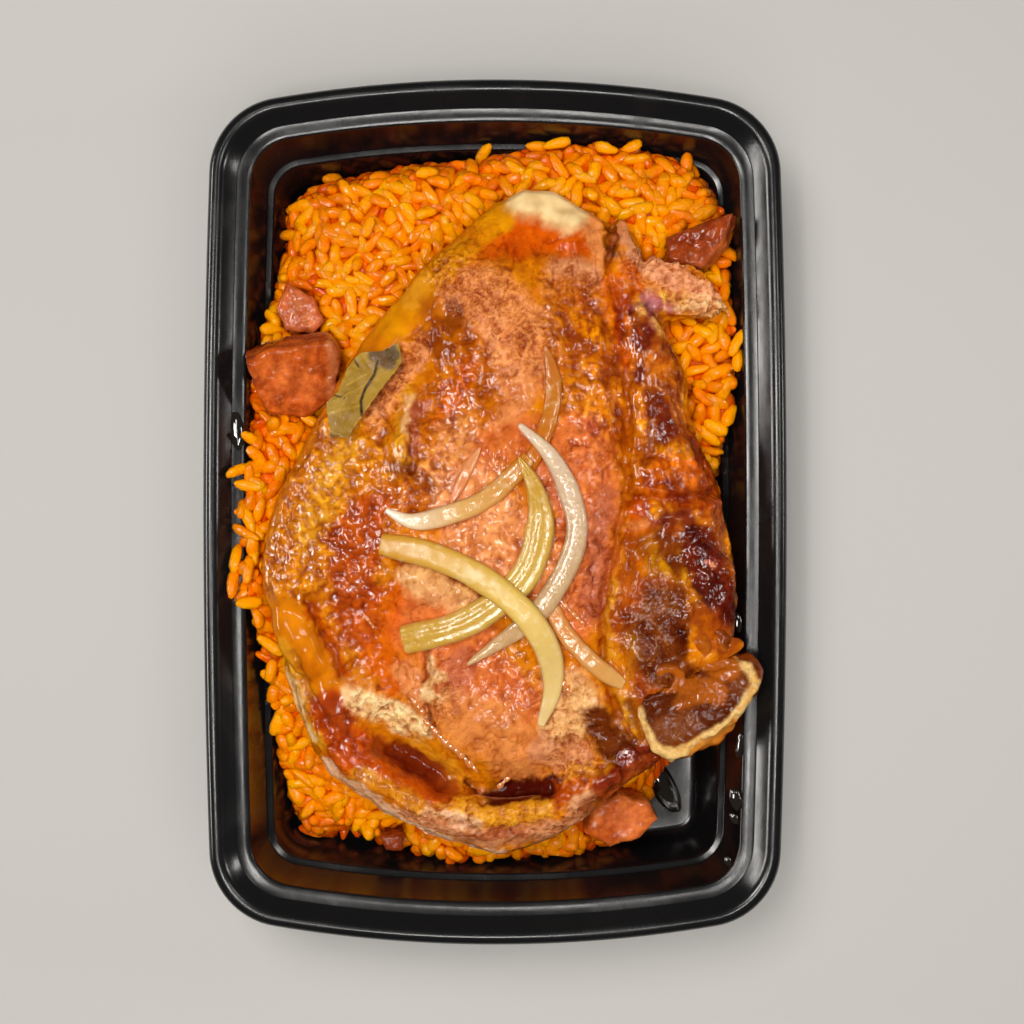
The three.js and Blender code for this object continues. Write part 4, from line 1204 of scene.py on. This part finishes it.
BONE_CREASES = [
    (0.9, 1.5, [(35, -46), (37, -53), (40.5, -59.5), (44.5, -61.5), (50, -58.8), (57, -54.5),
                (62.5, -49.5), (65.6, -43), (63.6, -39)]),
    (-1.1, 5.5, [(43, -52), (50, -50), (58, -44)]),
    (-0.9, 0.9, [(49, -60), (56, -56), (61, -51.5)]),
]
BONE_ROLLS = [
    (1.3, 1.6, 1.3, 0.7, [(41.2, -42.6, 46.4), (42.2, -39.6, 46.7), (45.2, -39.4, 46.8), (46.6, -42.2, 46.8),
                          (44.8, -45.2, 46.6), (42, -44.8, 46.4)]),
    (1.6, 2.6, 1.4, 0.34, [(45, -42, 46.2), (50, -44.5, 46.4), (56.5, -45.6, 46)]),
    (1.2, 1.8, 1.0, 0.34, [(47, -46.4, 46), (52, -48, 46.2), (55, -46.8, 46)]),
    (1.2, 2.3, 1.5, 0.6, [(49.4, -30, 46.4), (52.4, -33, 46.8), (53.6, -37.4, 46.4)]),
    (1.2, 1.9, 1.2, 0.7, [(55, -29.6, 46), (57.6, -32, 46.4), (58, -35.8, 46)]),
    (1.3, 1.9, 1.1, 0.5, [(51, -39, 46.2), (55.4, -38.8, 46.6), (59.6, -37.4, 46)]),
    (1.2, 1.7, 1.2, 0.8, [(49, -60.6, 42), (55, -58, 42), (61, -53.2, 42)]),
]


class MEAL_OT_bone(bpy.types.Operator):
    """Make the sawn bone with its pale rim, dark marrow and amber jelly"""

    bl_idname = "meal.bone"
    bl_label = "Bone"

    def execute(self, context):
        piece = fused("Sawn_bone", "chop_bone", BONE_ROLLS, FINE_VOXEL, 6)
        points, normals = points_of(piece) / MM, normals_of(piece)
        flat = warped(points, 81, 0.4)
        upward = np.clip(normals[:, 2] * 1.6, 0, 1)
        rise = sum(h * soft_band(route_distance(flat, route), w) for h, w, route in BONE_CREASES) * upward
        marrow = soft_patch(flat, 7, 3, [(43, -51), (52, -48), (59, -42)])
        rise += marrow * 0.45 * rough_noise(points, 1.3, 91, 2) + 0.5 * rough_noise(points, 3.4, 92, 2)
        move_points(piece, (points + normals * rise[:, None]) * MM)
        tint = painted(flat, BONE, BONE_PATCHES, "crust")
        jelly = covered(flat, [patch[1:] for patch in BONE_PATCHES if patch[0] == "jelly"])
        mark_food(piece, tint, 0.35 * marrow, np.maximum(0.15 + 0.1 * marrow, jelly), 0.7 * jelly)
        # A pale fleck colour, partly painted highlight, and the painted shade colour for the hollows.
        look = meat_look("Bone and marrow", linear(170, 100, 50), linear(54, 14, 2), 1.1, 0.32)
        set_in(piece, look, "bone", "chop_bone")
        return {"FINISHED"}


# ---- onion ----

ONION_STEPS = 110  # along a strip
ONION_ACROSS = 15  # points across its upper side
SETTLED = 13  # steps over which its height is evened out
SPARSE = 5  # steps between the places that the colours are measured from
# From the lowest strip to the highest: width, thickness, how blunt each end is, lengthwise ridges,
# how wet it is, colours at the start, middle and end, and the route of its middle.
ONION_STRIPS = [
    (4.6, 1.8, (0.02, 0.2), 0, 0.25, ((190, 106, 32), (198, 120, 28), (196, 104, 6)),
     [(12.7, 42), (14.7, 33.4), (14.2, 25.3), (11.6, 17.7), (8.4, 10.6)]),
    (3.0, 1.2, (0.02, 0.02), 0, 0.25, ((226, 156, 104), (222, 142, 86), (220, 130, 74)),
     [(-3.6, 16.2), (-6, 12), (-8.6, 6.9), (-11, 1.8)]),
    (5.0, 1.8, (0.2, 0.14), 0, 0.25, ((216, 144, 74), (212, 146, 76), (218, 164, 92)),
     [(13.6, -22.6), (17, -29.5), (21.6, -35), (26.6, -39.6), (32.4, -43.6)]),
    (5.4, 2.0, (0.03, 0.2), 0, 0.35, ((242, 222, 196), (222, 172, 100), (200, 122, 22)),
     [(-27.4, 0.4), (-20, -2.4), (-10, -0.2), (-2.3, 3.2), (4, 8.5), (8.6, 13.6)]),
    (8.0, 2.2, (0.0, 0.3), 2, 1.0, ((204, 154, 50), (214, 176, 84), (206, 160, 62)),
     [(5.8, 14), (10, 6), (11.4, -3), (8.6, -14), (1.6, -22), (-9, -28.6), (-23.2, -32.4)]),
    (6.0, 2.2, (0.04, 0.02), 1, 1.0, ((228, 202, 174), (206, 172, 132), (206, 164, 110)),
     [(6.2, 21.8), (14, 14), (19, 4), (20.6, -5.5), (17, -16), (9, -27), (-7, -38.6)]),
    (7.2, 2.2, (0.22, 0.04), 0, 0.0, ((208, 150, 44), (224, 188, 90), (228, 196, 132)),
     [(-28.8, -8), (-16, -10.8), (-4, -16.2), (6.6, -24.4), (13, -34), (14.6, -44), (11.6, -54)]),
]


def strip_sections(width, thick, blunt, ridges, seed):
    """The strip across at each step: a shallow arch with a flatter underside."""
    share = np.linspace(0, 1, ONION_STEPS)
    start, end = (share + blunt[0]) / 0.3, (1 - share + blunt[1]) / 0.3
    taper = (np.minimum(1, start) * np.minimum(1, end)) ** 0.62
    wobble = 1 + 0.07 * lattice_noise(np.stack([share * 9, share * 0, share * 0 + seed], 1), seed)
    across = np.linspace(-1, 1, ONION_ACROSS)
    arch = (1 - np.abs(across) ** 4.5) ** 0.5
    arch = arch * (1 + 0.09 * np.cos(math.pi * (2 * ridges - 1) * across)) if ridges else arch
    over = np.stack([across, arch], 1)
    under = np.stack([across[-2:0:-1] * 0.9, -0.22 * (1 - across[-2:0:-1] ** 2)], 1)
    section = np.vstack([over, under])
    half = (width / 2 * taper * wobble)[:, None]
    tall = (thick * (0.45 + 0.55 * taper))[:, None]
    return np.stack([section[:, 0] * half, section[:, 1] * tall], 2)


def onion_strip(number, width, thick, blunt, ridges, shine, colours, route):
    """One strip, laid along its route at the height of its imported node."""
    middle = smooth_route(route, ONION_STEPS)
    top = heights(tree_of(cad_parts[f"onion_strip_{number}"].data), middle * MM) / MM
    known = ~np.isnan(top)
    top = np.interp(np.arange(ONION_STEPS), np.flatnonzero(known), top[known])
    top = np.convolve(np.pad(top, SETTLED // 2, mode="edge"), np.ones(SETTLED) / SETTLED, mode="valid")
    sections = strip_sections(width, thick, blunt, ridges, number)
    base = top - sections[:, :, 1].max(1) * 0.96
    points, faces = swept(np.column_stack([middle, base]), sections)
    points[:, 2] += 0.12 * rough_noise(points, 3, 100 + number, 2)
    piece = new_piece(f"Onion_strip_{number}", points * MM, faces)
    modified(piece, ("SUBSURF", {"levels": 1}))
    points = points_of(piece) / MM
    away = np.linalg.norm(points[:, None, :2] - middle[None, ::SPARSE], axis=2)
    share = away.argmin(1) * SPARSE / (ONION_STEPS - 1)
    tint = np.stack([np.interp(share, [0, 0.5, 1], [linear(*c)[k] for c in colours]) for k in range(3)], 1)
    mark(piece, "tint", tint)
    mark(piece, "bead", np.full(len(points), shine))
    return piece


def onion_look():
    look = Look(
        "Soft onion", IOR=1.5, Coat_Roughness=0.05,
        Subsurface_Weight=0.5, Subsurface_Scale=0.0018, Subsurface_Radius=(1.0, 0.75, 0.4),
    )
    fibre = look.noise(0.0013, 1, 0.3)
    bead = look.read("bead")
    cloud = look.noise(0.0026, 3).between(0.5, 0.75)
    look.set("Base Color", look.mix(cloud * 0.35, look.read_colour("tint"), linear(244, 222, 176)))
    look.set("Roughness", 0.3 - bead.between(0, 0.3) * 0.2 + fibre * 0.06)
    look.set("Coat Weight", 0.08 + bead * 0.45)
    look.bump(fibre * (0.05 + bead * 0.5), 0.0005)
    return look.material


class MEAL_OT_onion(bpy.types.Operator):
    """Make the seven strips of soft onion that lie on the chop"""

    bl_idname = "meal.onion"
    bl_label = "Onion strips"

    def execute(self, context):
        look = onion_look()
        for number, strip in enumerate(ONION_STRIPS, 1):
            set_in(onion_strip(number, *strip), look, "onion", f"onion_strip_{number}")
        return {"FINISHED"}


# ---- bay leaf ----

LEAF = {
    "olive": (172, 132, 34),
    "moss": (140, 102, 20),
    "midrib": (214, 168, 40),
    "vein": (198, 160, 60),
    "crack": (44, 24, 6),
    # tip is the painted shadow colour at the curled end.
    "tip": (70, 48, 8),
    "gloss": (96, 62, 20),
}
LEAF_PATCHES = [
    ("moss", 0.6, 4, 4, [(-40, 21), (-34, 23)]),
    ("moss", 0.5, 2, 3, [(-31, 37), (-36, 30)]),
    ("midrib", 1.0, 0.55, 0.5, [(-23.4, 37), (-26, 33.4), (-29, 29.4), (-32, 25), (-34.6, 21.4)]),
    ("vein", 0.6, 0.25, 0.4, [(-37, 32), (-32.4, 34.6)]),
    ("vein", 0.6, 0.25, 0.4, [(-42, 24.6), (-33.6, 26.8)]),
    ("vein", 0.4, 0.22, 0.4, [(-39, 28.4), (-33, 31.6)]),
    ("gloss", 1.0, 1.9, 1.2, [(-30, 39.6), (-26.6, 37.6)]),
    # Painted shadow: the dark tip is the shade of the leaf's curled end.
    ("tip", 0.9, 1.6, 1.0, [(-27.4, 42.6), (-25.4, 39.6)]),
    ("crack", 1.0, 0.36, 0.4, [(-33.2, 24.4), (-33.6, 28), (-32.6, 31), (-30.4, 34.4), (-29.4, 38)]),
    ("crack", 0.9, 0.22, 0.3, [(-41, 29.6), (-37.6, 28.6)]),
    ("crack", 0.9, 0.25, 0.3, [(-36.2, 39.8), (-34.2, 36.6)]),
    ("crack", 0.9, 0.3, 0.3, [(-41.4, 19.4), (-39, 18.6)]),
]


class MEAL_OT_leaf(bpy.types.Operator):
    """Make the cracked piece of bay leaf"""

    bl_idname = "meal.leaf"
    bl_label = "Bay leaf"

    def execute(self, context):
        piece = copy_of_node("bay_leaf", "Bay_leaf")
        modified(piece, ("SUBSURF", {"subdivision_type": "SIMPLE", "levels": 4}))
        points = points_of(piece) / MM
        places = np.column_stack([points[:, :2], np.zeros(len(points))])
        points[:, 2] += 0.45 * rough_noise(places, 4, 120, 2) + 0.35
        for height, width, name in ((0.28, 0.5, "midrib"), (0.12, 0.3, "vein"), (-0.35, 0.4, "crack")):
            for patch in (p for p in LEAF_PATCHES if p[0] == name):
                points[:, 2] += height * soft_band(route_distance(points[:, :2], patch[4]), width)
        points[:, :2] += 0.25 * np.stack([rough_noise(places, 2.2, s, 2) for s in (121, 131)], 1)
        move_points(piece, points * MM)
        mark(piece, "tint", painted(points[:, :2], LEAF, LEAF_PATCHES, "olive"))
        look = Look("Bay leaf", Coat_Weight=0.12, Coat_Roughness=0.1)
        blotch = look.noise(0.0035, 4)
        fine = look.noise(0.0005, 3)
        shade = look.mix(blotch.between(0.45, 0.75) * 0.5, look.read_colour("tint"), linear(120, 84, 14))
        look.set("Base Color", look.mix(fine.between(0.55, 0.75) * 0.25, shade, linear(206, 170, 70)))
        look.set("Roughness", 0.5 - blotch.between(0.45, 0.7) * 0.25 + fine * 0.2)
        look.bump(fine, 0.00012)
        set_in(piece, look.material, "leaf", "bay_leaf")
        return {"FINISHED"}


# ---- ham ----

HAM = {
    "pink": (212, 106, 58),
    "blush": (238, 158, 112),
    "roast": (200, 88, 26),
    "char": (140, 48, 8),
    "cut": (190, 108, 66),
    "dark": (150, 60, 22),
    "bright": (222, 112, 50),
}
# Each cube's own colour and what is laid over it.
HAM_PAINT = [
    ("pink", [("blush", 0.3, 2, 3, [(-51, 54), (-49, 50)])]),
    ("roast", [
        ("cut", 0.9, 1.8, 1.2, [(-62, 44), (-52, 46.4), (-44, 47)]),
        ("char", 0.8, 0.7, 1.0, [(-63, 41.8), (-52, 44), (-44, 45)]),
        ("cut", 0.8, 1.4, 1.0, [(-41.4, 44), (-41, 36), (-42.6, 31)]),
        ("char", 0.5, 1.2, 1.4, [(-44, 44), (-44.4, 34)]),
        ("bright", 0.5, 4, 4, [(-56, 34), (-48, 32)]),
    ]),
    ("dark", [
        ("bright", 0.7, 1.4, 1.2, [(57, 64), (60, 70), (63, 75)]),
        ("pink", 0.4, 2, 2, [(52, 64), (56, 66)]),
        ("char", 0.6, 1.4, 2, [(47, 70), (52, 71)]),
    ]),
    ("bright", [("pink", 0.6, 3, 3, [(29, -80), (36, -82)]), ("roast", 0.8, 2, 2, [(25, -84), (31, -86)])]),
    ("dark", []),
]


class MEAL_OT_ham(bpy.types.Operator):
    """Make the five cubes of cooked ham"""

    bl_idname = "meal.ham"
    bl_label = "Ham cubes"

    def execute(self, context):
        # A pale fleck colour, partly painted highlight, and the painted shade colour for the hollows.
        look = meat_look("Cooked ham", linear(240, 152, 100), linear(130, 34, 4), 1.6, 0.22)
        for number, (base, patches) in enumerate(HAM_PAINT, 1):
            piece = even_skin(copy_of_node(f"ham_cube_{number}", f"Ham_cube_{number}"), 0.0004, 3)
            points, normals = points_of(piece) / MM, normals_of(piece)
            rise = 0.5 * rough_noise(points, 5, 140 + number, 2) + 0.22 * rough_noise(points, 1.6, 150, 2)
            move_points(piece, (points + normals * rise[:, None]) * MM)
            tint = painted(warped(points, 160, 0.4), HAM, patches, base)
            shade = 0.9 + 0.5 * rough_noise(points, 3.5, 170 + number, 3)[:, None] * (0.8, 1, 1.2)
            tint *= np.clip(shade, 0.3, 1.3)
            mark_food(piece, tint, *(np.full(len(points), amount) for amount in (0.3, 0.22, 0.0)))
            set_in(piece, look, "ham", f"ham_cube_{number}")
        return {"FINISHED"}


# ---- juice and drops ----

DROP_SIDES = 28
DROP_PROFILE = ((0.35, 0.94), (0.62, 0.8), (0.84, 0.52), (0.96, 0.22), (1.0, 0.0))  # out and up
BEAD_STEPS = 60
BEAD_RISE_MM = 0.35
# Beads of clear juice along cracks and edges of the chop: half width and route.
JUICE_BEADS = [
    (1.0, [(-17.7, -53.4), (-13.1, -58), (-8.8, -61.8), (-5, -66.1)]),
    (0.8, [(-20.5, -48.1), (-18.6, -50.8)]),
    (0.8, [(1.3, -70.9), (3.3, -68.6)]),
    (1.1, [(16.2, -41.8), (18.6, -45)]),
    (0.8, [(16.5, -22.3), (19.5, -25.3), (22.1, -27.9)]),
    (0.6, [(-33, -26), (-31, -29)]),
    (0.7, [(17.4, 8), (20.5, 4)]),
]
# Drops of oil on the tray: x, y, height of the tray there, half length, half width, turn.
TRAY_DROPS = [
    (46.5, -76, 0.8, 8.5, 3.4, -1.1),
    (62.6, -28.5, 36, 1.0, 2.6, 0.1),
    (63, -60, 36, 1.0, 3.4, -0.1),
    (62, -74, 36, 1.6, 3.0, 0.2),
    (61.6, -79, 36, 1.0, 1.6, 0.5),
    (60, -90, 36, 0.9, 1.4, 0.3),
    (-66.6, 21, 36, 2.0, 5.2, 0.1),
    (72.6, -28, 39.6, 0.5, 0.7, 0),
    (72.9, -48.8, 39.6, 0.6, 1.0, 0.3),
    (73, -54.6, 39.6, 0.5, 0.6, 0),
    (73, -58.4, 39.6, 0.5, 0.9, 0.2),
    (72.9, -62.4, 39.6, 0.4, 0.5, 0),
    (72.8, -67.6, 39.6, 0.4, 0.6, 0),
    (72.6, -72.8, 39.6, 0.5, 0.5, 0),
    (72.2, -78, 39.6, 0.4, 0.5, 0),
]


def drop_shape(x, y, level, length, width, turn, seed):
    """A low rounded puddle with an uneven edge and a flat underside."""
    angles = np.linspace(0, 2 * math.pi, DROP_SIDES, endpoint=False)
    around = np.stack([np.cos(angles) * 1.4, np.sin(angles) * 1.4, angles * 0 + seed], 1)
    uneven = 1 + 0.16 * lattice_noise(around, seed)
    height = 0.32 * min(length, width)
    rings = []
    for out, up in DROP_PROFILE:
        px, py = np.cos(angles) * length * out * uneven, np.sin(angles) * width * out * uneven
        rings.append(np.stack([
            x + px * math.cos(turn) - py * math.sin(turn),
            y + px * math.sin(turn) + py * math.cos(turn),
            np.full(DROP_SIDES, level + up * height),
        ], 1))
    points = np.vstack([*rings, [[x, y, level + height], [x, y, level]]])
    return points, tube_faces(len(rings), DROP_SIDES)


def bead_row(tree, half, route, seed):
    """Drops laid along a route on the chop, each a little above its skin."""
    line = smooth_route(route, BEAD_STEPS)
    length = np.linalg.norm(np.diff(line, axis=0), axis=1).sum()
    count = max(3, int(length / (1.5 * half)))
    drops = []
    for i, at in enumerate(np.linspace(2, BEAD_STEPS - 3, count).astype(int)):
        ahead = line[at + 2] - line[at - 2]
        turn = math.atan2(ahead[1], ahead[0])
        level = heights(tree, line[at:at + 1] * MM)[0] / MM + BEAD_RISE_MM
        width = half * (0.7 + 0.3 * math.sin(3.7 * i + seed))
        drops.append(drop_shape(*line[at], level, 1.5 * half, width, turn, seed + i))
    return drops


def clear_look(name, colour, roughness, coat_roughness):
    """A wet, mirror-like film over a colour."""
    colour = (*colour, 1)
    look = Look(name, Base_Color=colour, Roughness=roughness, Coat_Weight=1.0, Coat_Roughness=coat_roughness)
    return look.material


class MEAL_OT_juice(bpy.types.Operator):
    """Make the beads of juice on the chop and the drops of oil on the tray"""

    bl_idname = "meal.juice"
    bl_label = "Juice and drops"

    def execute(self, context):
        tree = tree_of(bpy.data.objects["Pork_chop"].data)
        beads = [drop for seed, row in enumerate(JUICE_BEADS) for drop in bead_row(tree, *row, seed)]
        look = clear_look("Clear juice", (0.62, 0.2, 0.05), 0.03, 0.03)
        set_in(joined("Juice_beads", beads), look, "chop")
        drops = [drop_shape(*drop, seed) for seed, drop in enumerate(TRAY_DROPS)]
        look = clear_look("Oil drops", (0.012, 0.008, 0.005), 0.04, 0.02)
        set_in(joined("Oil_drops", drops), look, "tray")
        return {"FINISHED"}


# ---- stage ----

FLOOR_HALF = 3.0
LAMP_COLOUR = (1, 0.97, 0.93)
AIM = Vector((0, 0, 0.03))


class StageSettings(bpy.types.PropertyGroup):
    """Floor, light and camera."""

    floor: bpy.props.FloatVectorProperty(
        name="Floor", description="Colour of the floor", subtype="COLOR", default=(0.56, 0.55, 0.53)
    )
    camera_height: bpy.props.FloatProperty(
        name="Camera height", description="Height of the camera above the floor", unit="LENGTH", default=0.49
    )
    camera_shift: bpy.props.FloatProperty(
        name="Camera place", description="How far the camera stands off the middle", unit="LENGTH",
        default=0.00434,
    )
    focal_length: bpy.props.FloatProperty(
        name="Focal length", description="Focal length of the lens", unit="CAMERA", default=61.93
    )
    world_light: bpy.props.FloatProperty(
        name="Light all round", description="Strength of the even light", default=0.07
    )
    window_light: bpy.props.FloatProperty(
        name="Window light", description="Power of the long light on the left", unit="POWER", default=0.9
    )
    lamp_light: bpy.props.FloatProperty(
        name="Lamps", description="Power of each small lamp", unit="POWER", default=1.18
    )
    fill_light: bpy.props.FloatProperty(
        name="Fill light", description="Power of the wide soft light", unit="POWER", default=4.3
    )


def area_light(name, place, size, power, gloss=True, lights=True):
    """A soft lamp aimed at the meal: whether wet surfaces mirror it, and whether it lights them."""
    data = bpy.data.lights.new(name, "AREA")
    data.shape = "RECTANGLE"
    data.size, data.size_y = size
    data.energy = power
    data.color = LAMP_COLOUR
    light = bpy.data.objects.new(name, data)
    light.location = place
    light.rotation_euler = (AIM - Vector(place)).to_track_quat("-Z", "Y").to_euler()
    light.visible_glossy = gloss
    light.visible_diffuse = lights
    bpy.context.scene.collection.objects.link(light)
    return light


class MEAL_OT_stage(bpy.types.Operator):
    """Make the floor, the lights and the camera above the meal"""

    bl_idname = "meal.stage"
    bl_label = "Stage"

    def execute(self, context):
        scene = context.scene
        settings = scene.meal_stage
        corners = [(x * FLOOR_HALF, y * FLOOR_HALF, 0) for x, y in ((-1, -1), (1, -1), (1, 1), (-1, 1))]
        floor = new_piece("Floor", corners, [(0, 1, 2, 3)])
        look = Look("Pale floor", Roughness=0.6)
        cloud = look.noise(0.25, 3).between(0.3, 0.7)
        look.set("Base Color", look.mix(cloud * 0.12, settings.floor, (0.5, 0.49, 0.47)))
        floor.data.materials.append(look.material)
        lamp = settings.lamp_light
        lights = [
            area_light("Ledge_light", (-0.19, 0.0, 0.9), (0.5, 0.05), settings.window_light),
            area_light("Window_light", (-0.3, 0.06, 0.85), (0.17, 0.13), lamp * 1.6, lights=False),
            area_light("Right_window", (0.27, 0.12, 0.85), (0.12, 0.1), lamp * 0.5, lights=False),
            area_light("Low_lamp", (-0.035, -0.165, 0.9), (0.085, 0.085), lamp * 0.7),
            area_light("Onion_lamp", (0.045, -0.085, 0.9), (0.07, 0.07), lamp * 0.4),
            area_light("Edge_lamp", (-0.62, 0.03, 0.3), (0.5, 0.1), lamp * 2.3, lights=False),
            area_light("Rim_lamp", (0.62, 0.047, 0.35), (0.12, 0.04), lamp * 0.4),
            area_light("Soft_light", (-0.2, 0.25, 0.9), (0.35, 0.35), settings.fill_light, gloss=False),
            area_light("Fill_light", (0.1, -0.35, 0.9), (0.9, 0.9), settings.fill_light * 0.9, gloss=False),
        ]
        world = bpy.data.worlds.new("Studio")
        world.use_nodes = True
        background = world.node_tree.nodes["Background"].inputs
        background["Color"].default_value = (1, 0.98, 0.95, 1)
        background["Strength"].default_value = settings.world_light
        scene.world = world
        lens = bpy.data.cameras.new("Camera")
        lens.lens = settings.focal_length
        lens.sensor_width = 36
        lens.clip_start = 0.01
        camera = bpy.data.objects.new("Camera", lens)
        camera.location = (settings.camera_shift, 0, settings.camera_height)
        scene.collection.objects.link(camera)
        scene.camera = camera
        scene.view_settings.view_transform = "Standard"
        return {"FINISHED"}


# ---- add-on ----

STEPS = [
    MEAL_OT_tray, MEAL_OT_rice, MEAL_OT_chop, MEAL_OT_bone, MEAL_OT_onion,
    MEAL_OT_leaf, MEAL_OT_ham, MEAL_OT_juice, MEAL_OT_stage,
]
SETTINGS = {
    "meal_tray": TraySettings,
    "meal_rice": RiceSettings,
    "meal_chop": ChopSettings,
    "meal_stage": StageSettings,
}


class MEAL_PT_panel(bpy.types.Panel):
    """Lists the steps and the settings of the meal"""

    bl_idname = "MEAL_PT_panel"
    bl_label = "Rice meal"
    bl_space_type = "VIEW_3D"
    bl_region_type = "UI"
    bl_category = "Meal"

    def draw(self, context):
        for step in STEPS:
            self.layout.operator(step.bl_idname)
        for name, group in SETTINGS.items():
            box = self.layout.box()
            for key in group.__annotations__:
                box.prop(getattr(context.scene, name), key)


def register():
    for group in (*SETTINGS.values(), *STEPS, MEAL_PT_panel):
        bpy.utils.register_class(group)
    for name, group in SETTINGS.items():
        setattr(bpy.types.Scene, name, bpy.props.PointerProperty(type=group))


def unregister():
    for name in SETTINGS:
        delattr(bpy.types.Scene, name)
    for group in (MEAL_PT_panel, *reversed(STEPS), *SETTINGS.values()):
        bpy.utils.unregister_class(group)


def main():
    register()
    bpy.ops.meal.tray()
    bpy.ops.meal.rice()
    bpy.ops.meal.chop()
    bpy.ops.meal.bone()
    bpy.ops.meal.onion()
    bpy.ops.meal.leaf()
    bpy.ops.meal.ham()
    bpy.ops.meal.juice()
    bpy.ops.meal.stage()


if __name__ == "__main__":
    main()
